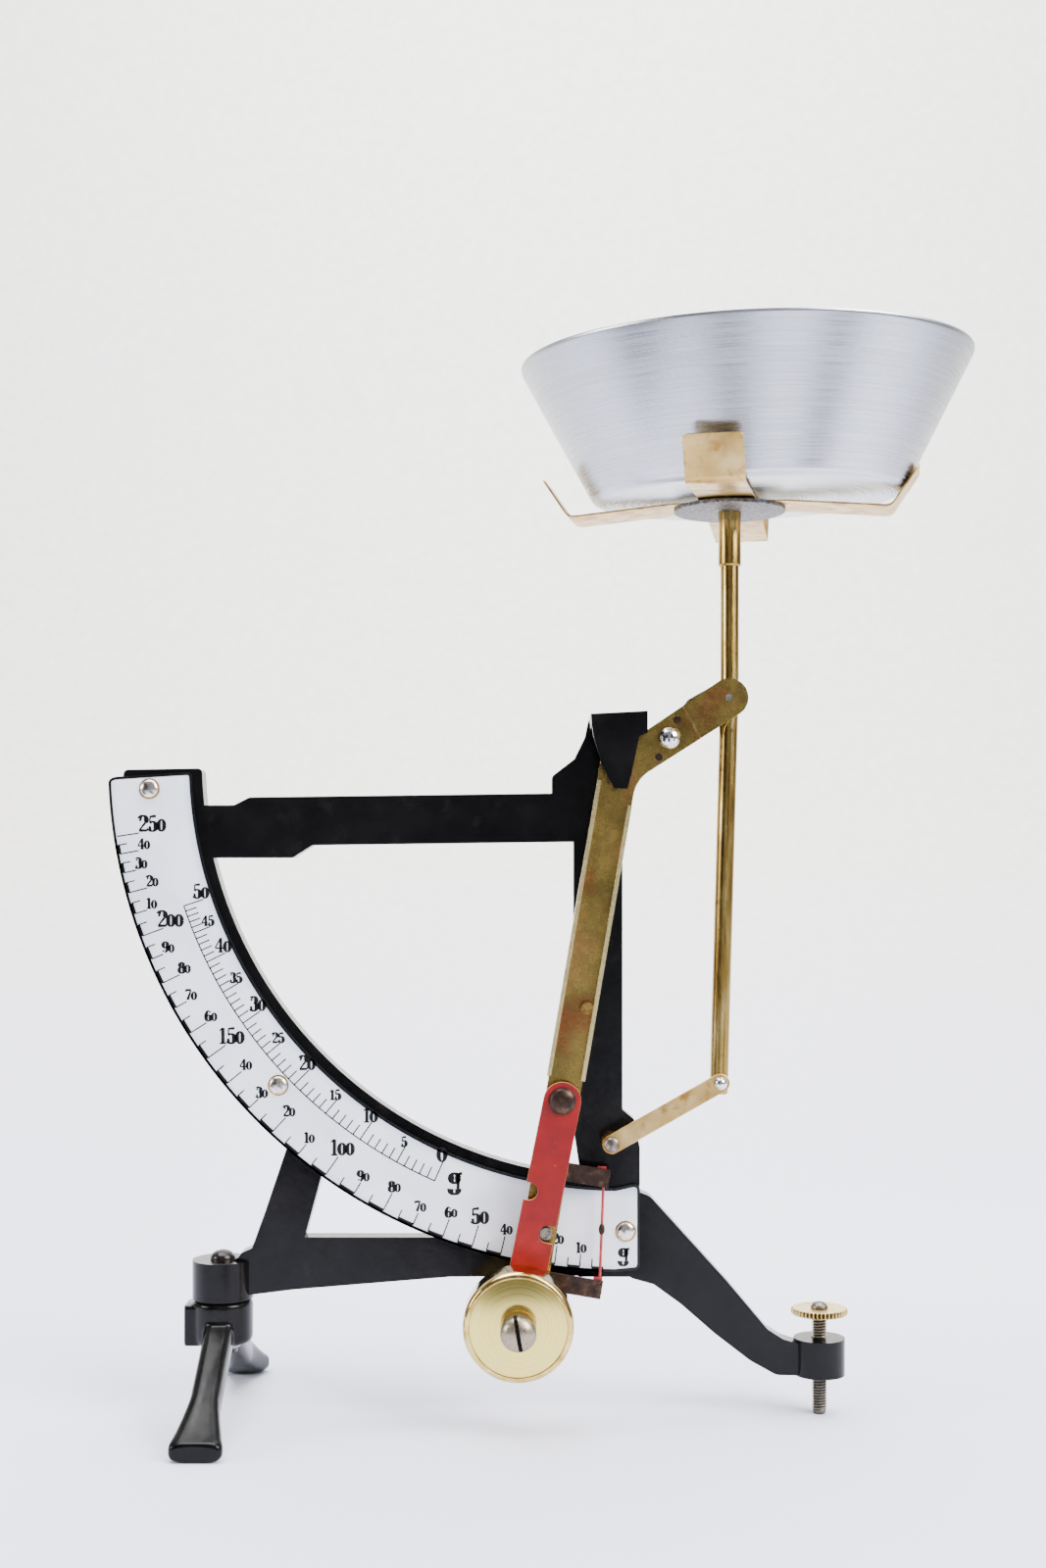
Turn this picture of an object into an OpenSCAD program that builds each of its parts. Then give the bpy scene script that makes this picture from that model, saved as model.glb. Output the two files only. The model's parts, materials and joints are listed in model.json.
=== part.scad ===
// Two-range pendulum letter scale: a black cast frame carries a quadrant dial, and a brass
// bell-crank lever swings on one pivot between the tines of a yoke. A flat bowl stands on a
// rod that a lower link keeps upright, and a weight that flips over on the lever's long arm
// changes the range. The scale stands on a two-legged folding foot and one levelling screw.
// All sizes are in millimetres. x runs to the right, y away from the dial's face, z up.

/* [Dial] */
// Outer radius of the dial's band, measured from the main pivot
dial_r = 129.3; // [115:0.1:150]
// Width of the dial's band
dial_band = 21.3; // [18:0.1:24]
// Thickness of the enamelled plate
dial_t = 1.2; // [0.8:0.1:1.6]
// How far the dial's square end reaches past the main pivot
dial_end = 5.3; // [4:0.1:7]
// Height of the dial's lowest point above the table
dial_clear = 36.7; // [34:0.1:50]
// Head diameter of the rivets that hold the dial
dial_rivet_d = 5; // [4:0.1:6]

/* [Frame] */
// Thickness of the cast frame
frame_t = 6; // [5:0.1:7]
// Width of the cast ring behind the dial
ring_w = 20; // [16:0.1:22]
// How far the cast ring shows inside the dial's band
ring_show = 2.4; // [1.5:0.1:4]
// Depth of the top arm
arm_w = 12.2; // [10:0.1:14]
// Drop from the main pivot to the top arm's upper edge
arm_drop = 8.2; // [7.5:0.1:10]
// Width of the column
column_w = 12.4; // [10:0.1:14]
// Depth of the bar along the bottom
bar_w = 10; // [8:0.1:11]
// Fillet in the casting's inner corners
cast_fillet = 3; // [2:0.1:4]
// Rounding of the casting's outer corners
cast_round = 1.2; // [0.6:0.1:1.6]

/* [Yoke] */
// Gap between the yoke's tines
yoke_gap = 11; // [10.5:0.1:13]
// Thickness of the front tine
tine_t = 3; // [2.6:0.1:4]
// Height of the yoke's top above the main pivot
yoke_top = 11.5; // [10.5:0.1:15]
// Width of the yoke's head
yoke_w = 14; // [12:0.1:15]

/* [Lever] */
// Width of the long arm's channel
lever_w = 9.6; // [8.6:0.1:10.6]
// Thickness of the lever's sheet
lever_t = 1; // [0.8:0.1:1.2]
// Height of the channel's flanges
flange_h = 3; // [2:0.1:3]
// Lean of the long arm from straight down, in degrees
lever_lean = 9.7; // [8:0.1:11]
// Sideways reach of the short arm to the rod's pivot
arm_reach = 27; // [25:0.1:30]
// Rise of the short arm to the rod's pivot
arm_rise = 15.3; // [13:0.1:17]
// Diameter of the steel ball that trims the lever's balance
ball_d = 5.8; // [4:0.1:6]
// Diameter of the main pivot's axle
axle_d = 2.4; // [2:0.1:2.8]

/* [Pointer] */
// Lean of the needle from straight down at rest, in degrees
needle_lean = 2.2; // [2:0.1:4]
// Diameter of the needle's wire
needle_d = 0.7; // [0.5:0.05:0.9]
// Thickness of the pointer's frame
pointer_t = 0.8; // [0.6:0.1:1]

/* [Weight] */
// Diameter of the brass weight
weight_d = 27.2; // [24:0.1:29]
// Thickness of the brass weight
weight_t = 10.4; // [8:0.05:12]
// Length of the weight's strip, from its rivet to the weight's centre
strip_l = 55.1; // [52:0.1:58]
// Width of the weight's strip
strip_w = 9.4; // [9:0.1:10.4]
// Thickness of the weight's strip
strip_t = 1; // [0.8:0.1:1.2]
// Turn of the weight from its lower stop to its upper one, in degrees
flip_angle = 176; // [172:1:178]
// Diameter of the two stop pins
stop_d = 3; // [2.6:0.1:3.2]

/* [Rod and link] */
// Diameter of the bowl's rod
rod_d = 4.6; // [4:0.1:5]
// Wall of the rod's tube
rod_wall = 0.4; // [0.3:0.05:0.6]
// Height from the rod's upper pivot to the underside of the carrier disc
rod_rise = 46.7; // [44:0.1:55]
// Width of the lower link
link_w = 4.7; // [4.4:0.1:5.4]
// Thickness of the lower link
link_t = 1; // [0.8:0.1:1.2]
// Diameter of the pins that join the rod to the lever and the link
rod_pin_d = 1.6; // [1.4:0.1:2]

/* [Carrier] */
// Diameter of the carrier disc
disc_d = 27.8; // [24:0.1:32]
// Thickness of the carrier disc
disc_t = 1; // [0.8:0.1:1.5]
// Width of the two crossed strips
spider_w = 14; // [12:0.1:16]
// Thickness of the crossed strips
spider_t = 0.5; // [0.4:0.05:0.8]
// Reach of the strips to their bends
spider_reach = 39.8; // [38:0.1:44]
// Length of the upturned ends
spider_tip = 11.8; // [9:0.1:13]
// Slope of the upturned ends, in degrees
spider_slope = 56; // [50:1:60]
// Droop of the strips towards their bends, in degrees
spider_droop = 5; // [4:0.5:7]
// Turn of the crossed strips about the rod, in degrees
spider_turn = -11; // [-20:1:0]

/* [Bowl] */
// Diameter of the bowl at its rim
bowl_d = 112; // [100:0.5:130]
// Diameter of the bowl's flat bottom
bowl_base_d = 77; // [72:0.5:80]
// Height of the bowl
bowl_h = 34.2; // [28:0.1:44]
// Wall of the bowl
bowl_wall = 0.6; // [0.5:0.05:1]
// How far the bowl stands off the rod's axis
bowl_shift = 4.6; // [0:0.1:5]
// Tilt of the bowl to the left, in degrees
bowl_tilt = 1.5; // [0:0.1:2]
// Tilt of the bowl to the front, in degrees
bowl_nod = 3; // [0:0.1:3]

/* [Foot] */
// Distance from the main pivot to the foot's rivet
foot_reach = 100.8; // [90:0.1:110]
// Diameter of the hub that the foot turns under
hub_d = 15.4; // [14:0.1:18]
// Height of the hub's top above the table
hub_top = 39.3; // [38:0.1:41]
// Height of the hub
hub_h = 9.8; // [9:0.1:11]
// Half the spread of the foot's two legs
foot_spread = 42; // [36:0.5:50]
// Width of the foot's legs
foot_w = 7; // [6:0.1:8]
// Width of the foot's soles
sole_w = 14; // [12:0.1:15]
// Diameter of the foot's rivet
foot_rivet_d = 5; // [4:0.1:6]

/* [Levelling screw] */
// Distance from the main pivot to the levelling screw
screw_reach = 51.2; // [46:0.1:56]
// Diameter of the levelling screw
screw_d = 4; // [3.5:0.1:4.5]
// Height of the boss's underside above the table
boss_z = 10; // [9:0.1:12]
// Height of the boss
boss_h = 9.3; // [8:0.1:10]
// Diameter of the boss
boss_d = 13; // [11:0.1:14]
// Diameter of the knurled wheel
wheel_d = 14.3; // [12:0.1:16]
// Thickness of the knurled wheel
wheel_t = 1.7; // [1.4:0.1:2.4]
// Height of the knurled wheel above the boss
wheel_gap = 5.9; // [5.6:0.1:7]

/* [Fits] */
// Radial clearance of a pin that turns in a hole
run_fit = 0.05; // [0.03:0.01:0.08]
// Radial clearance of a pin that is pressed or riveted in
press_fit = 0.01; // [0.01:0.01:0.02]
// Gap between flat faces that slide past each other
slide_gap = 0.3; // [0.2:0.05:0.4]

/* [Hidden] */
$fn = 96;
small_fn = 48;
far = 400;

// Where the depths of the layers lie: the rod's axis is y = 0
frame_y = 8;
frame_front = frame_y - frame_t / 2;
dial_front = frame_front - dial_t;
web_front = -lever_t;
flange_front = web_front - flange_h + lever_t;
tine_back = frame_front - yoke_gap;
tine_front = tine_back - tine_t;
tip_front = -rod_d / 2 - slide_gap - lever_t;
rear_plate_y = rod_d / 2 + slide_gap;
strip_back = flange_front - slide_gap;
strip_front = strip_back - strip_t;
weight_front = strip_front - weight_t;
link_back = -rod_d / 2 - slide_gap;
link_front = link_back - link_t;

// Heights and radii that follow from the dial
dial_inner_r = dial_r - dial_band;
ring_inner_r = dial_inner_r - ring_show;
ring_outer_r = ring_inner_r + ring_w;
pivot_z = dial_clear + dial_r;
arm_top = -arm_drop;
arm_low = arm_top - arm_w;
column_right = 0.9;
column_left = column_right - column_w;
bar_low = -dial_r - 1.4;
bar_top = bar_low + bar_w;
hub_low = hub_top - hub_h;
dial_top_lean = 3.6;
dial_corner_r = 1.8;
tab_top = -dial_inner_r + 1;
tab_low = -dial_r + 0.5;

// Lever and its parts, in the lever's own directions
arm_len = norm([arm_reach, arm_rise]);
arm_angle = atan2(arm_rise, arm_reach);
down_angle = 270 - lever_lean;
channel_end = dial_inner_r - 27;
flange_end = channel_end - 0.3;
weight_rivet_r = dial_inner_r - 21.7;
tail_end = dial_r + 1.5;
lower_stop_r = weight_rivet_r + 33.3;
strip_lean = 11.4;
strip_angle = 270 - strip_lean;
upper_notch = [23.6, 3.2];
lower_notch = [33.2, -2.5];
notch_r = 2.2;
notch_slack = 0.5;
needle_top_r = dial_inner_r - 4;
needle_low_r = dial_r + 6;
bead_r = dial_inner_r + 10;

// Rod, link and carrier
rod_top = [arm_reach, arm_rise];
stud = [-2.2, -dial_inner_r + 12];
rod_low = stud + rod_top;
rod_x = arm_reach + 0.5;
disc_z = arm_rise + rod_rise;
strips_top = disc_z + disc_t + 2 * spider_t;
bowl_low = strips_top + slide_gap + bowl_base_d / 2 * sin(bowl_nod + bowl_tilt) * 0.38;
seat_drop = 0.3;

// The whole model is shifted so that its box is centred on the origin
rim_x = rod_x + bowl_shift - bowl_h * sin(bowl_tilt);
rim_half = bowl_d / 2 * cos(bowl_tilt);
pivot_x = (dial_r - rim_x - rim_half) / 2;
bowl_y = bowl_h * sin(bowl_nod) / 2;

// Point at a radius and an angle
function polar(r, a) = [r * cos(a), r * sin(a)];

// Point of the lever's long arm: distance from the pivot, and offset to the right
function on_arm(u, w) = polar(u, down_angle) + polar(w, down_angle + 90);

// Point of the weight's strip: distance along it from its rivet, and offset to the left
function on_strip(u, w) = weight_pivot + polar(u, strip_angle) + polar(w, strip_angle - 90);

// The same point after the weight has flipped to its upper stop
function flipped(u, w) = weight_pivot + polar(u, strip_angle - flip_angle)
    + polar(w, strip_angle - flip_angle - 90);

weight_pivot = on_arm(weight_rivet_r, 0);
lower_stop = on_strip(lower_notch[0], lower_notch[1]);
upper_stop = flipped(upper_notch[0], upper_notch[1]);

// Moves children that are drawn about the main pivot to its place
module at_pivot() {
    translate([pivot_x, 0, pivot_z]) children();
}

// Upright plate: a flat outline in x and z, with its front face at y = front
module plate(front, thick) {
    translate([0, front + thick, 0]) rotate([90, 0, 0]) linear_extrude(thick) children();
}

// Round bar along y with its front end at y = front, at a point in x and z
module bar_y(p, front, long, d, fn = small_fn) {
    translate([p[0], front + long, p[1]]) rotate([90, 0, 0]) cylinder(h = long, d = d, $fn = fn);
}

// Domed rivet head that faces the front, standing on y = base
module dome_front(p, base, d, high) {
    ball_r = (d * d / 4 + high * high) / (2 * high);
    translate([p[0], base, p[1]]) rotate([90, 0, 0]) dome_up(d, high, ball_r);
}

// Cap of a ball, with its flat side down
module dome_up(d, high, ball_r) {
    intersection() {
        translate([0, 0, high - ball_r]) sphere(r = ball_r);
        cylinder(h = high, d = d);
    }
}

// Flat bar from one point to another with round ends
module link_2d(p, q, w) {
    for (end = [p, q]) translate(end) circle(d = w, $fn = small_fn);
    run = q - p;
    translate(p) rotate(atan2(run[1], run[0])) translate([0, -w / 2]) square([norm(run), w]);
}

// ---- frame ----

// Cast ring behind the dial, from under the dial's top end to the column
module ring_2d() {
    intersection() {
        difference() {
            circle(r = ring_outer_r, $fn = 180);
            circle(r = ring_inner_r, $fn = 180);
        }
        polygon([[0, 0], [-far, -7], [-far, -far], [column_left, -far], [column_left, 0]]);
    }
}

// Top arm, which widens to a pad where it meets the ring
module arm_2d() {
    pad_x = -ring_inner_r + 12;
    polygon([[-ring_inner_r - 6, arm_top - 3], [pad_x - 4, arm_top - 3], [pad_x, arm_top - 1],
        [column_left - 5, arm_top], [column_left + 3, arm_top], [column_left + 3, arm_low],
        [pad_x + 16, arm_low - 0.9], [pad_x + 11, arm_low - 4.1], [-ring_inner_r - 6, arm_low - 4.1]]);
}

// Column with the lug that carries the link's stud
module column_2d() {
    polygon([[column_left, arm_top - 2], [column_left, stud[1] + 3], [column_left + 1.5, tab_top + 4],
        [column_left + 1.5, bar_low], [dial_end - 3, bar_low], [dial_end, tab_top],
        [dial_end, stud[1] - 2], [column_right + 3, stud[1] + 5.2],
        [column_right, stud[1] + 7.7], [column_right, arm_top - 2]]);
}

// Rear half of the yoke, on top of the column
module yoke_2d() {
    left = column_left - 5.5;
    polygon([[left, arm_top - 1], [left, arm_top + 4.3], [-11.3, 0.5], [-8.6, yoke_top - 5.5],
        [-yoke_w / 2 - 0.6, yoke_top - 0.7], [yoke_w / 2 - 0.6, yoke_top],
        [yoke_w / 2 - 0.6, yoke_top - 4.5], [column_right + 2, arm_top + 2],
        [column_right, arm_top - 4], [column_left + 2, arm_top - 4]]);
}

// Front tine, which hangs from the yoke's head
module tine_2d() {
    polygon([[-yoke_w / 2 - 0.6, yoke_top - 0.7], [-yoke_w / 2, yoke_top - 6], [-4.7, -2],
        [-3.1, -5.4], [-1.8, -7.6], [1.4, -7.6], [2.3, -4.4], [4.3, yoke_top - 6.3],
        [yoke_w / 2 - 0.6, yoke_top - 5.3], [yoke_w / 2 - 0.6, yoke_top]]);
}

// Solid head that joins the two tines, above the lever
module head_2d() {
    polygon([[-yoke_w / 2 - 0.4, yoke_top - 3.9], [-yoke_w / 2 - 0.6, yoke_top - 0.7],
        [yoke_w / 2 - 0.6, yoke_top], [yoke_w / 2 - 0.6, yoke_top - 3.4]]);
}

// Bar along the bottom, from the column to the hub
module bar_2d() {
    polygon([[-foot_reach + 5, bar_top - 4], [-foot_reach + 14, bar_top], [dial_end - 8, bar_top],
        [dial_end - 3, bar_low + 0.4], [-43, bar_low], [-foot_reach + 18.5, bar_low - 3.2],
        [-foot_reach + 7.3, bar_low - 4.6], [-foot_reach, bar_low - 4.6]]);
}

// Strut from the ring down to the hub
module strut_2d() {
    start = ring_outer_r - 4;
    polygon([polar(start, 227.9), polar(start, 233), [-foot_reach + 22, bar_top + 2.9],
        [-foot_reach + 22, bar_top - 3], [-foot_reach + 10, bar_low], [-foot_reach + 2, bar_low + 3],
        [-foot_reach + 4.4, bar_top - 5], [-foot_reach + 7.6, bar_top - 3.4],
        [-foot_reach + 11, bar_top + 6]]);
}

// Leg that runs down to the levelling screw's boss
module leg_2d() {
    end = screw_reach - 4.7;
    top = boss_z + boss_h - pivot_z;
    low = boss_z - pivot_z;
    offset(r = 3.5, $fn = small_fn) offset(delta = -3.5 - 12) offset(r = 12, $fn = small_fn) polygon([
        [dial_end - 1, tab_top - 0.4], [dial_end, tab_top - 0.4], [27, bar_low - 0.6],
        [37.7, bar_low - 13.3], [41.6, top + 0.2], [end, top - 1.3], [screw_reach + 3, top - 1.3],
        [screw_reach + 3, low + 0.2], [end - 6.6, low + 0.4], [33.2, low + 4.1], [24.2, low + 11],
        [15.6, low + 18.5], [8.8, bar_low - 1.9], [1.9, bar_low], [dial_end - 6, bar_top]]);
}

// Whole flat outline of the casting, with filleted corners
module casting_2d() {
    offset(r = cast_round, $fn = 24) offset(delta = -cast_round - cast_fillet)
        offset(r = cast_fillet, $fn = 24) {
            ring_2d();
            arm_2d();
            column_2d();
            yoke_2d();
            bar_2d();
            strut_2d();
            leg_2d();
        }
}

module frame_casting() {
    color("#1b1a1c") difference() {
        union() {
            at_pivot() {
                plate(frame_front, frame_t) casting_2d();
                plate(tine_front, yoke_gap + tine_t + 1) head_2d();
                plate(tine_front, tine_t) tine_2d();
            }
            translate([pivot_x - foot_reach, frame_y, hub_low]) cylinder(h = hub_h, d = hub_d);
            translate([pivot_x + screw_reach, frame_y, boss_z]) cylinder(h = boss_h, d = boss_d);
        }
        bore_z(pivot_x - foot_reach, hub_low, hub_h, foot_rivet_d + 2 * press_fit);
        bore_z(pivot_x + screw_reach, boss_z, boss_h, screw_d + 2 * run_fit);
        at_pivot() {
            bar_y([0, 0], tine_back - bush_l, bush_l + 1, bush_d);
            bar_y([0, 0], frame_front - 1, bush_l + 1, bush_d);
            bar_y(stud, frame_front - 1, stud_deep + 1, stud_d + 2 * press_fit);
            for (p = dial_rivet_points) {
                bar_y(p, frame_front - 1, frame_t + 2, rivet_shank_d + 2 * press_fit);
            }
        }
    }
}

// Upright hole in the frame's middle plane
module bore_z(x, low, high, d) {
    translate([x, frame_y, low - 1]) cylinder(h = high + 2, d = d);
}

bush_d = 4.4;
bush_l = 2.2;
stud_d = 2.6;
stud_deep = 3;
rivet_shank_d = 2.4;
dial_rivet_points = [for (a = [183.4, 223.6, 270.8]) polar(dial_r - 10.3, a)];

// ---- dial ----

// Quadrant band with the square end at its foot
module dial_2d() {
    intersection() {
        difference() {
            circle(r = dial_r, $fn = 240);
            circle(r = dial_inner_r, $fn = 240);
        }
        polygon([[0, 0], dial_top_end(0), dial_top_end(far), [-far, -far], [0, -far]]);
    }
    difference() {
        translate([-1, tab_low]) square([dial_end + 1, tab_top - tab_low]);
        translate([dial_end, tab_low]) corner_2d(0);
        translate([dial_end, tab_top]) corner_2d(90);
    }
}

// Point on the dial's upper end edge, at a distance left of the pivot
function dial_top_end(u) = [-u, -u * tan(dial_top_lean) + 4];

// Waste of one rounded corner: its tip is at the origin, with the plate to the upper left
module corner_2d(turn) {
    rotate(turn) difference() {
        translate([-dial_corner_r, -1]) square([dial_corner_r + 1, dial_corner_r + 1]);
        translate([-dial_corner_r, dial_corner_r]) circle(r = dial_corner_r, $fn = small_fn);
    }
}

module dial_plate() {
    color("#f1f2f6") at_pivot() difference() {
        plate(dial_front, dial_t) dial_2d();
        for (p = dial_rivet_points) {
            bar_y(p, dial_front - 1, dial_t + 2, rivet_shank_d + 2 * press_fit);
        }
    }
}

module dial_rivets() {
    color("#cfcac6") at_pivot() for (p = dial_rivet_points) {
        dome_front(p, dial_front, dial_rivet_d, 1.1);
        bar_y(p, dial_front, frame_t + dial_t, rivet_shank_d);
    }
}

// ---- main pivot ----

// Bush with a hole for the axle, one end at y = front
module bush(front) {
    difference() {
        bar_y([0, 0], front, bush_l, bush_d - 2 * press_fit);
        bar_y([0, 0], front - 1, bush_l + 2, axle_d + 2 * run_fit);
    }
}

module rear_bush() {
    color("#b98d45") at_pivot() bush(frame_front);
}

module front_bush() {
    color("#b98d45") at_pivot() bush(tine_back - bush_l);
}

module pivot_axle() {
    end_gap = 0.2;
    front = tine_back - bush_l + end_gap;
    color("#8d8f92") at_pivot() bar_y([0, 0], front, yoke_gap + 2 * bush_l - 2 * end_gap, axle_d);
}

// Spacer on the axle between the lever's web and the rear plate
module pivot_collar() {
    color("#b98d45") at_pivot() difference() {
        bar_y([0, 0], 0, rear_plate_y, 5);
        bar_y([0, 0], -1, rear_plate_y + 2, axle_d + 2 * press_fit);
    }
}

// ---- lever ----

tip_r = 4.8;
root_upper = 2.4;
root_lower = 6.4;
elbow_r = 9;
joggle_u = arm_len - 11;

// Outline of the long arm from the pivot down, and of its tail, which is a little narrower
module long_arm_2d() {
    side = lever_w / 2;
    tail_side = side - 0.5;
    rotate(down_angle) polygon([[0, -side], [0, side], [channel_end, side], [channel_end, tail_side],
        [tail_end, tail_side], [tail_end, -tail_side], [channel_end, -tail_side],
        [channel_end, -side]]);
}

// Upper and lower edges of the short arm, at a distance along it from the pivot
function arm_upper(u) = root_upper + (tip_r - root_upper) * u / arm_len;
function arm_lower(u) = -root_lower + (root_lower - tip_r) * u / arm_len;

// Outline of the short arm between two distances from the pivot
module short_arm_2d(from, to) {
    rotate(arm_angle) polygon([[from, arm_lower(from)], [to, arm_lower(to)], [to, arm_upper(to)],
        [from, arm_upper(from)]]);
}

// Web of the lever: the long arm with its tail, and the root of the short arm
module web_2d() {
    long_arm_2d();
    circle(r = lever_w / 2 + 0.1);
    short_arm_2d(0, joggle_u + lever_t);
    elbow_2d();
}

// Point at distances a and b along two unit directions m and n
function meet(m, a, n, b) = [a * n[1] - b * m[1], b * m[0] - a * n[0]] / (m[0] * n[1] - n[0] * m[1]);

// Fillet in the elbow between the long arm and the short one
module elbow_2d() {
    taper = atan((root_lower - tip_r) / arm_len);
    m = polar(1, arm_angle + taper - 90);
    n = polar(1, down_angle + 90);
    centre = meet(m, root_lower * cos(taper) + elbow_r, n, lever_w / 2 + elbow_r);
    difference() {
        polygon([[0, 0], centre - elbow_r * n, centre, centre - elbow_r * m]);
        translate(centre) circle(r = elbow_r + 0.02);
    }
}

// Flange along one side of the long arm, from a distance below the pivot
module flange(start, side) {
    plate(flange_front, flange_h) rotate(down_angle) translate([start, side]) {
        square([flange_end - start, lever_t]);
    }
}

// Tip of the short arm, stepped to the front to clear the rod
module tip_plate() {
    plate(tip_front, lever_t) {
        short_arm_2d(joggle_u, arm_len);
        translate(rod_top) circle(r = tip_r);
    }
    inset = 0.05;
    plate(tip_front, -tip_front) rotate(arm_angle) {
        translate([joggle_u, arm_lower(joggle_u + lever_t) + inset]) {
            square([lever_t, arm_upper(joggle_u) - arm_lower(joggle_u + lever_t) - 2 * inset]);
        }
    }
}

module lever_channel() {
    color("#a8793f") at_pivot() difference() {
        union() {
            plate(web_front, lever_t) web_2d();
            flange(6, -lever_w / 2);
            flange(11, lever_w / 2 - lever_t);
            tip_plate();
        }
        bar_y([0, 0], web_front - 1, lever_t + 2, axle_d + 2 * press_fit);
        bar_y(rod_top, tip_front - 1, lever_t + 2, rod_pin_d + 2 * run_fit);
        for (p = lever_rivet_points) {
            bar_y(p, web_front - 1, lever_t + 2, lever_rivet_d + 2 * press_fit);
        }
        for (p = concat(pointer_rivet_points, [upper_stop, lower_stop])) {
            bar_y(p, web_front - 1, lever_t + 2, pin_shank_d + 2 * press_fit);
        }
        bar_y(weight_pivot, web_front - 1, lever_t + 2, weight_rivet_d + 2 * press_fit);
        bar_y(ball_point, web_front - 1, lever_t + 2, ball_seat_d + 2 * press_fit);
    }
}

rear_plate_t = 0.8;
lever_rivet_d = 2;
pin_shank_d = 1.6;
weight_rivet_d = 3;
ball_seat_d = 4;
lever_rivet_points = [polar(17.4, arm_angle + 5.4), polar(9.7, arm_angle - 26)];
ball_point = polar(13.5, arm_angle - 5.7);
pointer_rivet_points = [on_arm(dial_inner_r - 4, 2.6), on_arm(dial_r - 2.5, 2.6)];

// Plate behind the short arm: the rod's pin turns in both
module lever_rear_plate() {
    color("#6f5232") at_pivot() difference() {
        plate(rear_plate_y, rear_plate_t) {
            rotate(arm_angle) polygon([[0, -tip_r + 0.4], [arm_len, -tip_r], [arm_len, tip_r],
                [joggle_u + 2.5, tip_r], [joggle_u - 1, tip_r - 1.6], [0, root_upper]]);
            translate(rod_top) circle(r = tip_r);
            circle(r = tip_r - 0.4);
        }
        bar_y([0, 0], rear_plate_y - 1, 3, axle_d + 2 * press_fit);
        bar_y(rod_top, rear_plate_y - 1, 3, rod_pin_d + 2 * run_fit);
        for (p = lever_rivet_points) bar_y(p, rear_plate_y - 1, 3, lever_rivet_d + 2 * press_fit);
    }
}

// Shouldered rivets that hold the rear plate off the web
module lever_rivets() {
    color("#4c4a3a") at_pivot() for (p = lever_rivet_points) {
        bar_y(p, web_front, rear_plate_y + rear_plate_t - web_front, lever_rivet_d);
        bar_y(p, 0, rear_plate_y, lever_rivet_d + 1.2);
    }
}

// Steel ball with a shank that is riveted in a hole in the short arm
module trim_ball() {
    color("#d5d6d8") at_pivot() {
        dome_front(ball_point, web_front, ball_d, 0.5 * ball_d);
        bar_y(ball_point, web_front, lever_t, ball_seat_d);
    }
}

// Pin riveted in the web that stops the weight's strip
module stop_pin(p) {
    bar_y(p, strip_front, web_front - strip_front, stop_d);
    bar_y(p, web_front, lever_t, pin_shank_d);
}

module upper_stop_pin() {
    color("#c79a4e") at_pivot() stop_pin(upper_stop);
}

module lower_stop_pin() {
    color("#9a8a72") at_pivot() stop_pin(lower_stop);
}

// ---- pointer ----

// Frame around the reading window, riveted behind the lever's tail
module pointer_2d() {
    bar_h = 4.6;
    low_r = dial_r + 0.3;
    reach = lever_lean - needle_lean;
    side = lever_w / 2 - 0.6;
    rotate(down_angle) {
        translate([dial_inner_r - 6.2, -side]) square([low_r + bar_h - dial_inner_r + 6.2, 2 * side]);
        translate([dial_inner_r - 6.2, 0]) square([bar_h, dial_inner_r * sin(reach) + 1]);
        translate([low_r, 0]) square([bar_h, low_r * sin(reach) + 1]);
    }
}

module pointer_frame() {
    color("#3b2c27") at_pivot() difference() {
        plate(0, pointer_t) pointer_2d();
        for (p = pointer_rivet_points) bar_y(p, -1, pointer_t + 2, pin_shank_d + 2 * press_fit);
        for (p = [upper_stop, lower_stop]) bar_y(p, -1, pointer_t + 2, pin_shank_d + 2 * press_fit);
    }
}

module pointer_rivets() {
    color("#5d4a3c") at_pivot() for (p = pointer_rivet_points) {
        bar_y(p, web_front, lever_t + pointer_t, pin_shank_d);
    }
}

// Wire stretched down the window, with a flat foot soldered on at each end
module pointer_needle() {
    lean = 270 - needle_lean;
    wire_y = pointer_t + needle_d / 2;
    color("#b3272b") at_pivot() {
        top = polar(needle_low_r, lean);
        translate([top[0], wire_y, top[1]]) rotate([0, needle_lean, 0]) {
            cylinder(h = needle_low_r - needle_top_r, d = needle_d, $fn = 24);
        }
        plate(pointer_t, 0.6) for (r = [dial_inner_r - 5.8, dial_r + 0.7]) {
            rotate(lean) translate([r, -1.6]) square([4, 2.2]);
        }
    }
}

// Small bead threaded on the wire, which marks the place to read
module reading_bead() {
    bead_t = needle_d + 0.7;
    p = polar(bead_r, 270 - needle_lean);
    wire_y = pointer_t + needle_d / 2;
    color("#4d3733") at_pivot() difference() {
        bar_y(p, wire_y - bead_t / 2, bead_t, 3);
        translate([p[0], wire_y, p[1]]) rotate([0, needle_lean, 0]) translate([0, 0, -4]) {
            cylinder(h = 8, d = needle_d + 2 * press_fit, $fn = 24);
        }
    }
}

// ---- weight ----

// Open-sided notch in the strip that takes a stop pin
module notch_2d(u, w, side) {
    translate([u, w + side * notch_slack]) {
        circle(r = notch_r, $fn = small_fn);
        translate([-notch_r, side > 0 ? 0 : -far]) square([2 * notch_r, far]);
    }
}

// Outline of the strip, along +x from its rivet with its left side towards -y
module strip_2d() {
    difference() {
        union() {
            circle(d = strip_w);
            translate([0, -strip_w / 2]) square([strip_l, strip_w]);
            translate([strip_l, 0]) circle(d = strip_w);
        }
        notch_2d(upper_notch[0], -upper_notch[1], -1);
        notch_2d(lower_notch[0], -lower_notch[1], 1);
    }
}

module weight_strip() {
    color("#c33b44") at_pivot() difference() {
        plate(strip_front, strip_t) translate(weight_pivot) rotate(strip_angle) strip_2d();
        bar_y(weight_pivot, strip_front - 1, strip_t + 2, weight_rivet_d + 2 * run_fit);
        bar_y(on_strip(strip_l, 0), strip_front - 1, strip_t + 2, knob_screw_d + 2 * press_fit);
    }
}

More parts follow.
